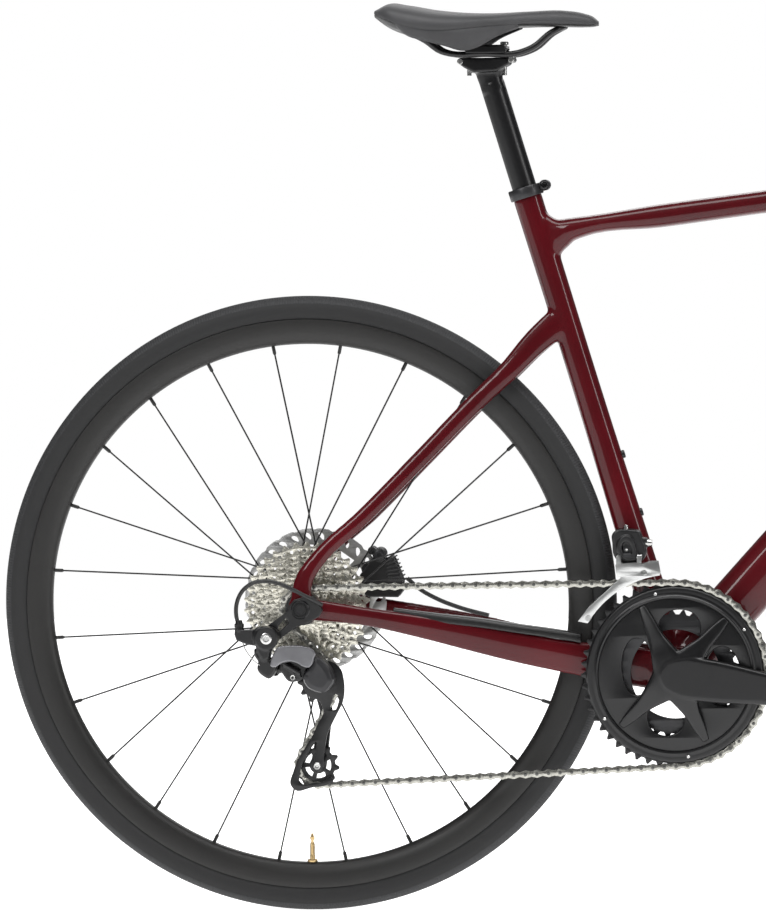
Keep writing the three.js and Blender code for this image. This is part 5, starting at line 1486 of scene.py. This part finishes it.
make("saddle_skirts", merge(skirt_shape(-1), skirt_shape(1)), "saddle", COVER, None, 0)
pad = make("saddle_pad_shape", saddle_pad_shape(), "saddle", COVER, "saddle_pad", 0)
make("saddle_base_shape", saddle_base_shape(), "saddle", PLASTIC, "saddle_shell", 60)
make("saddle_rails_shape", rails_shape(), "saddle", SATIN, "saddle_rails")
fused("seatpost_shape", seatpost_shape(), "seatpost", SATIN, 1.1, 5, "seatpost")
softened("rail_clamp", "seatpost", SATIN, 0.7, 4)


def clamp_bolt_shape(x):
    """An upright bolt with its socketed head at the top."""
    profile = [
        (0.6, 925), (2.4, 925), (2.4, 958), (4.6, 958.8), (4.6, 961.2), (3.8, 962), (2.2, 962), (2.2, 960),
        (0.6, 960),
    ]
    return spun(profile, (x, 0, 0), (0, 0, 1), 24)


def barrel_nut_shape(x, z):
    return spun([(2.6, -18.4), (3.4, -17.6), (3.4, 17.6), (2.6, 18.4)], (x, 0, z), (0, 1, 0), 24)


for end, bolt_x, nut_x, nut_z in (("rear", 184, 175.5, 940.5), ("front", 223, 231.5, 942)):
    clamp_bolt = "clamp_bolt_" + end
    make(clamp_bolt + "_shape", clamp_bolt_shape(bolt_x), "seatpost", STEEL, clamp_bolt)
    make("clamp_nut_" + end, barrel_nut_shape(nut_x, nut_z), "seatpost", STEEL, None)
COLLAR = Vector(seat_point(796))
COLLAR_LUG = COLLAR + SEAT_OUT * 22.5 + SEAT_WAY * 1.5


def collar_shape():
    """A split ring with a round lug in front for its bolt."""
    profile = [(15.9, -6), (18.2, -6), (18.8, -5), (18.8, 5), (18.2, 6), (15.9, 6)]
    ring = spun(profile, COLLAR, SEAT_WAY, 48, closed=True)
    across = spun([(5.2, -10), (6.0, -9), (6.0, 9), (5.2, 10)], COLLAR_LUG, (0, 1, 0), 28)
    neck = pipe([COLLAR + SEAT_OUT * 16, COLLAR_LUG], 5.2, 16, 1)
    return merge(ring, across, neck)


make("seat_collar_shape", collar_shape(), "frame", DARK, "seat_collar")
make("seat_collar_bolt_shape", bolt(COLLAR_LUG + Vector((0, -10.2, 0)), (0, -1, 0), 4.4, 1.6), "frame",
     GLOSS_BLACK, "seat_collar_bolt")

# ---- cockpit ----
BAR = (LEVER[0] - 140, 0, LEVER[2] - 8)
BAR_CURVE = [
    (0, 0, 0), (0, 60, 0), (0, 130, 0), (6, 175, 0), (30, 203, -2), (62, 209, -8), (85, 210, -32),
    (86, 211, -64),
    (68, 212, -97), (34, 213, -118), (-8, 215, -125), (-48, 216, -127),
]


def bar_shape():
    """Bare centre, and tape wound round both sides with a lip at each turn."""
    def at(side, p):
        return (BAR[0] + p[0], side * p[1], BAR[2] + p[2])

    curve = [at(1, p) for p in reversed(BAR_CURVE[1:])] + [at(-1, p) for p in BAR_CURVE]
    turns = 74

    def thickness(share):
        if abs(share - 0.5) < 0.062:
            return 13.2 if abs(share - 0.5) > 0.04 else 15.6
        return 14.6 + 0.75 * ((share * turns) % 1)

    return pipe(curve, thickness, 24, 26)


def bar_plugs():
    """The two plugs that close the ends of the bar."""
    made = []
    for side in (-1, 1):
        x, y, z = BAR_CURVE[-1]
        base = (BAR[0] + x, side * y, BAR[2] + z)
        profile = [(14.4, -0.2), (14.4, 1.4), (12.6, 2.4), (5, 2.6)]
        made.append(spun(profile, base, (-1, side * 0.03, -0.06), 32))
    return merge(*made)


make("handlebar_shape", bar_shape(), "steering", TAPE, "handlebar", 30)
make("bar_plugs", bar_plugs(), "steering", PLASTIC, None)
softened("stem", "steering", SATIN, 1.0, 8)
for side in ("left", "right"):
    softened("shifter_" + side, "steering", HOOD, 0.9, 9)
    softened("brake_lever_" + side, "brake_lever_" + side, GLOSS_BLACK, 0.6, 8)
    softened("shift_paddle_" + side, "shift_paddle_" + side, SATIN, 0.5, 5)
softened("headset_upper", "frame", SATIN, 0.8, 5)


def stem_bolts():
    """Four bolts in the face plate, and the cap on the steerer."""
    made = [
        bolt((BAR[0] + 19.6, side * 15, BAR[2] + rise * 13 + 3), (1, 0, 0.12), 3.0, 2.6)
        for side in (-1, 1) for rise in (-1, 1)
    ]
    cap = Vector(steer_point(-55))
    made.append(bolt(cap, (-math.cos(HEAD_ANGLE), 0, math.sin(HEAD_ANGLE)), 15.5, 2.2, 0.2))
    return merge(*made)


make("stem_bolts", stem_bolts(), "steering", SATIN, None)

# ---- CAD nodes that stay, with their own finishes ----
KEPT = {
    "bb_cup_right": SATIN, "bb_cup_left": SATIN, "headset_lower": STEEL,
    "crank_spindle": STEEL, "freehub_body": STEEL, "rear_thru_axle": SATIN, "front_thru_axle": SATIN,
    "rear_pad_left": DARK, "rear_pad_right": DARK,
}
for name, material in KEPT.items():
    node = frame["nodes"][name]
    node.data.materials.clear()
    node.data.materials.append(material)


def axle_end(x, y, side):
    """The stepped, socketed end of a thru-axle."""
    profile = [
        (10.4, 0), (10.4, 1.0), (9.6, 1.7), (7.9, 1.7), (7.5, 1.0), (6.9, 1.0), (6.5, 1.9), (4.4, 1.9),
        (3.8, -1.5), (0.5, -1.8),
    ]
    return spun(profile, (x, y, AXLE[2]), (0, side, 0), 48)


make("rear_axle_end", axle_end(0, -82.4, -1), "frame", GLOSS_BLACK, None)
make("rear_axle_head", axle_end(0, 81.0, 1), "frame", GLOSS_BLACK, None)
make("front_axle_head", axle_end(FRONT_AXLE[0], 66.8, 1), "steering", GLOSS_BLACK, None)


# ---- floor, light and camera ----
# Soft boxes: name, place, point aimed at, size in metres, power in watts.
LIGHTS = (
    ("top_box", (-0.1, -0.9, 3.4), (0, 0, 0.5), (4.5, 1.4), 120),
    ("upper_front_box", (-2.2, -3.4, 2.8), (-0.2, 0, 0.5), (1.2, 1.6), 60),
    ("side_strip", (3.4, -1.8, 1.6), (0.2, 0, 0.6), (0.6, 2.4), 40),
    ("back_box", (0.4, 3.6, 2.6), (0, 0, 0.6), (4.0, 1.6), 60),
)
FLOOR_SIZE = 7.5
FLOOR_GLOW = 0.93
ROOM_COLOR = (0.9, 0.9, 0.92, 1)
ROOM_STRENGTH = 0.1
CAMERA_PLACE = Vector((0.2586, -6.0574, 0.8503))
YAW, PITCH_DOWN, ROLL = (math.radians(a) for a in (-6.4, -3.25, -0.61))
LENS = 216.8
SENSOR = 36


def emitter(name, place, target, size, power):
    """A rectangular soft box that faces its target."""
    light = bpy.data.lights.new(name, "AREA")
    light.shape = "RECTANGLE"
    light.size, light.size_y = size
    light.energy = power
    obj = bpy.data.objects.new(name, light)
    obj.location = place
    obj.rotation_euler = (Vector(target) - Vector(place)).to_track_quat("-Z", "Y").to_euler()
    bpy.context.scene.collection.objects.link(obj)


def floor():
    """A pale floor that glows a little, so that it stays even."""
    bpy.ops.mesh.primitive_grid_add(x_subdivisions=8, y_subdivisions=8, size=FLOOR_SIZE)
    obj = bpy.context.object
    obj.name = "floor"
    s = Shade("floor_white", (0.86, 0.86, 0.86), 0.9)
    s.tint(s.noise(3, 2), 0.995, 1.005)
    s.shader.inputs["Emission Color"].default_value = (1, 1, 1, 1)
    s.shader.inputs["Emission Strength"].default_value = FLOOR_GLOW
    s.shader.inputs["Specular IOR Level"].default_value = 0.1
    obj.data.materials.append(s.material)


def sky():
    """The camera sees plain white; surfaces reflect a softer grey room."""
    world = bpy.data.worlds.new("studio")
    bpy.context.scene.world = world
    world.use_nodes = True
    nodes, links = world.node_tree.nodes, world.node_tree.links
    nodes.clear()
    out = nodes.new("ShaderNodeOutputWorld")
    mix = nodes.new("ShaderNodeMixShader")
    path = nodes.new("ShaderNodeLightPath")
    room = nodes.new("ShaderNodeBackground")
    seen = nodes.new("ShaderNodeBackground")
    room.inputs["Color"].default_value = ROOM_COLOR
    room.inputs["Strength"].default_value = ROOM_STRENGTH
    seen.inputs["Color"].default_value = (1, 1, 1, 1)
    seen.inputs["Strength"].default_value = 1.0
    links.new(path.outputs["Is Camera Ray"], mix.inputs[0])
    links.new(room.outputs[0], mix.inputs[1])
    links.new(seen.outputs[0], mix.inputs[2])
    links.new(mix.outputs[0], out.inputs[0])


def camera():
    """The camera as it was solved from the photograph: a long lens, a little turned and tilted."""
    data = bpy.data.cameras.new("camera")
    data.lens = LENS
    data.sensor_width = SENSOR
    obj = bpy.data.objects.new("camera", data)
    bpy.context.scene.collection.objects.link(obj)
    level_part = math.cos(PITCH_DOWN)
    ahead = Vector((math.sin(YAW) * level_part, math.cos(YAW) * level_part, math.sin(PITCH_DOWN)))
    level = Vector((math.cos(YAW), -math.sin(YAW), 0))
    upright = level.cross(ahead)
    right = level * math.cos(ROLL) + upright * math.sin(ROLL)
    up = upright * math.cos(ROLL) - level * math.sin(ROLL)
    turn = Matrix((right, up, -ahead)).transposed().to_4x4()
    obj.matrix_world = Matrix.Translation(CAMERA_PLACE) @ turn
    bpy.context.scene.camera = obj


floor()
sky()
camera()
for light in LIGHTS:
    emitter(*light)
bpy.context.scene.view_settings.view_transform = "Standard"
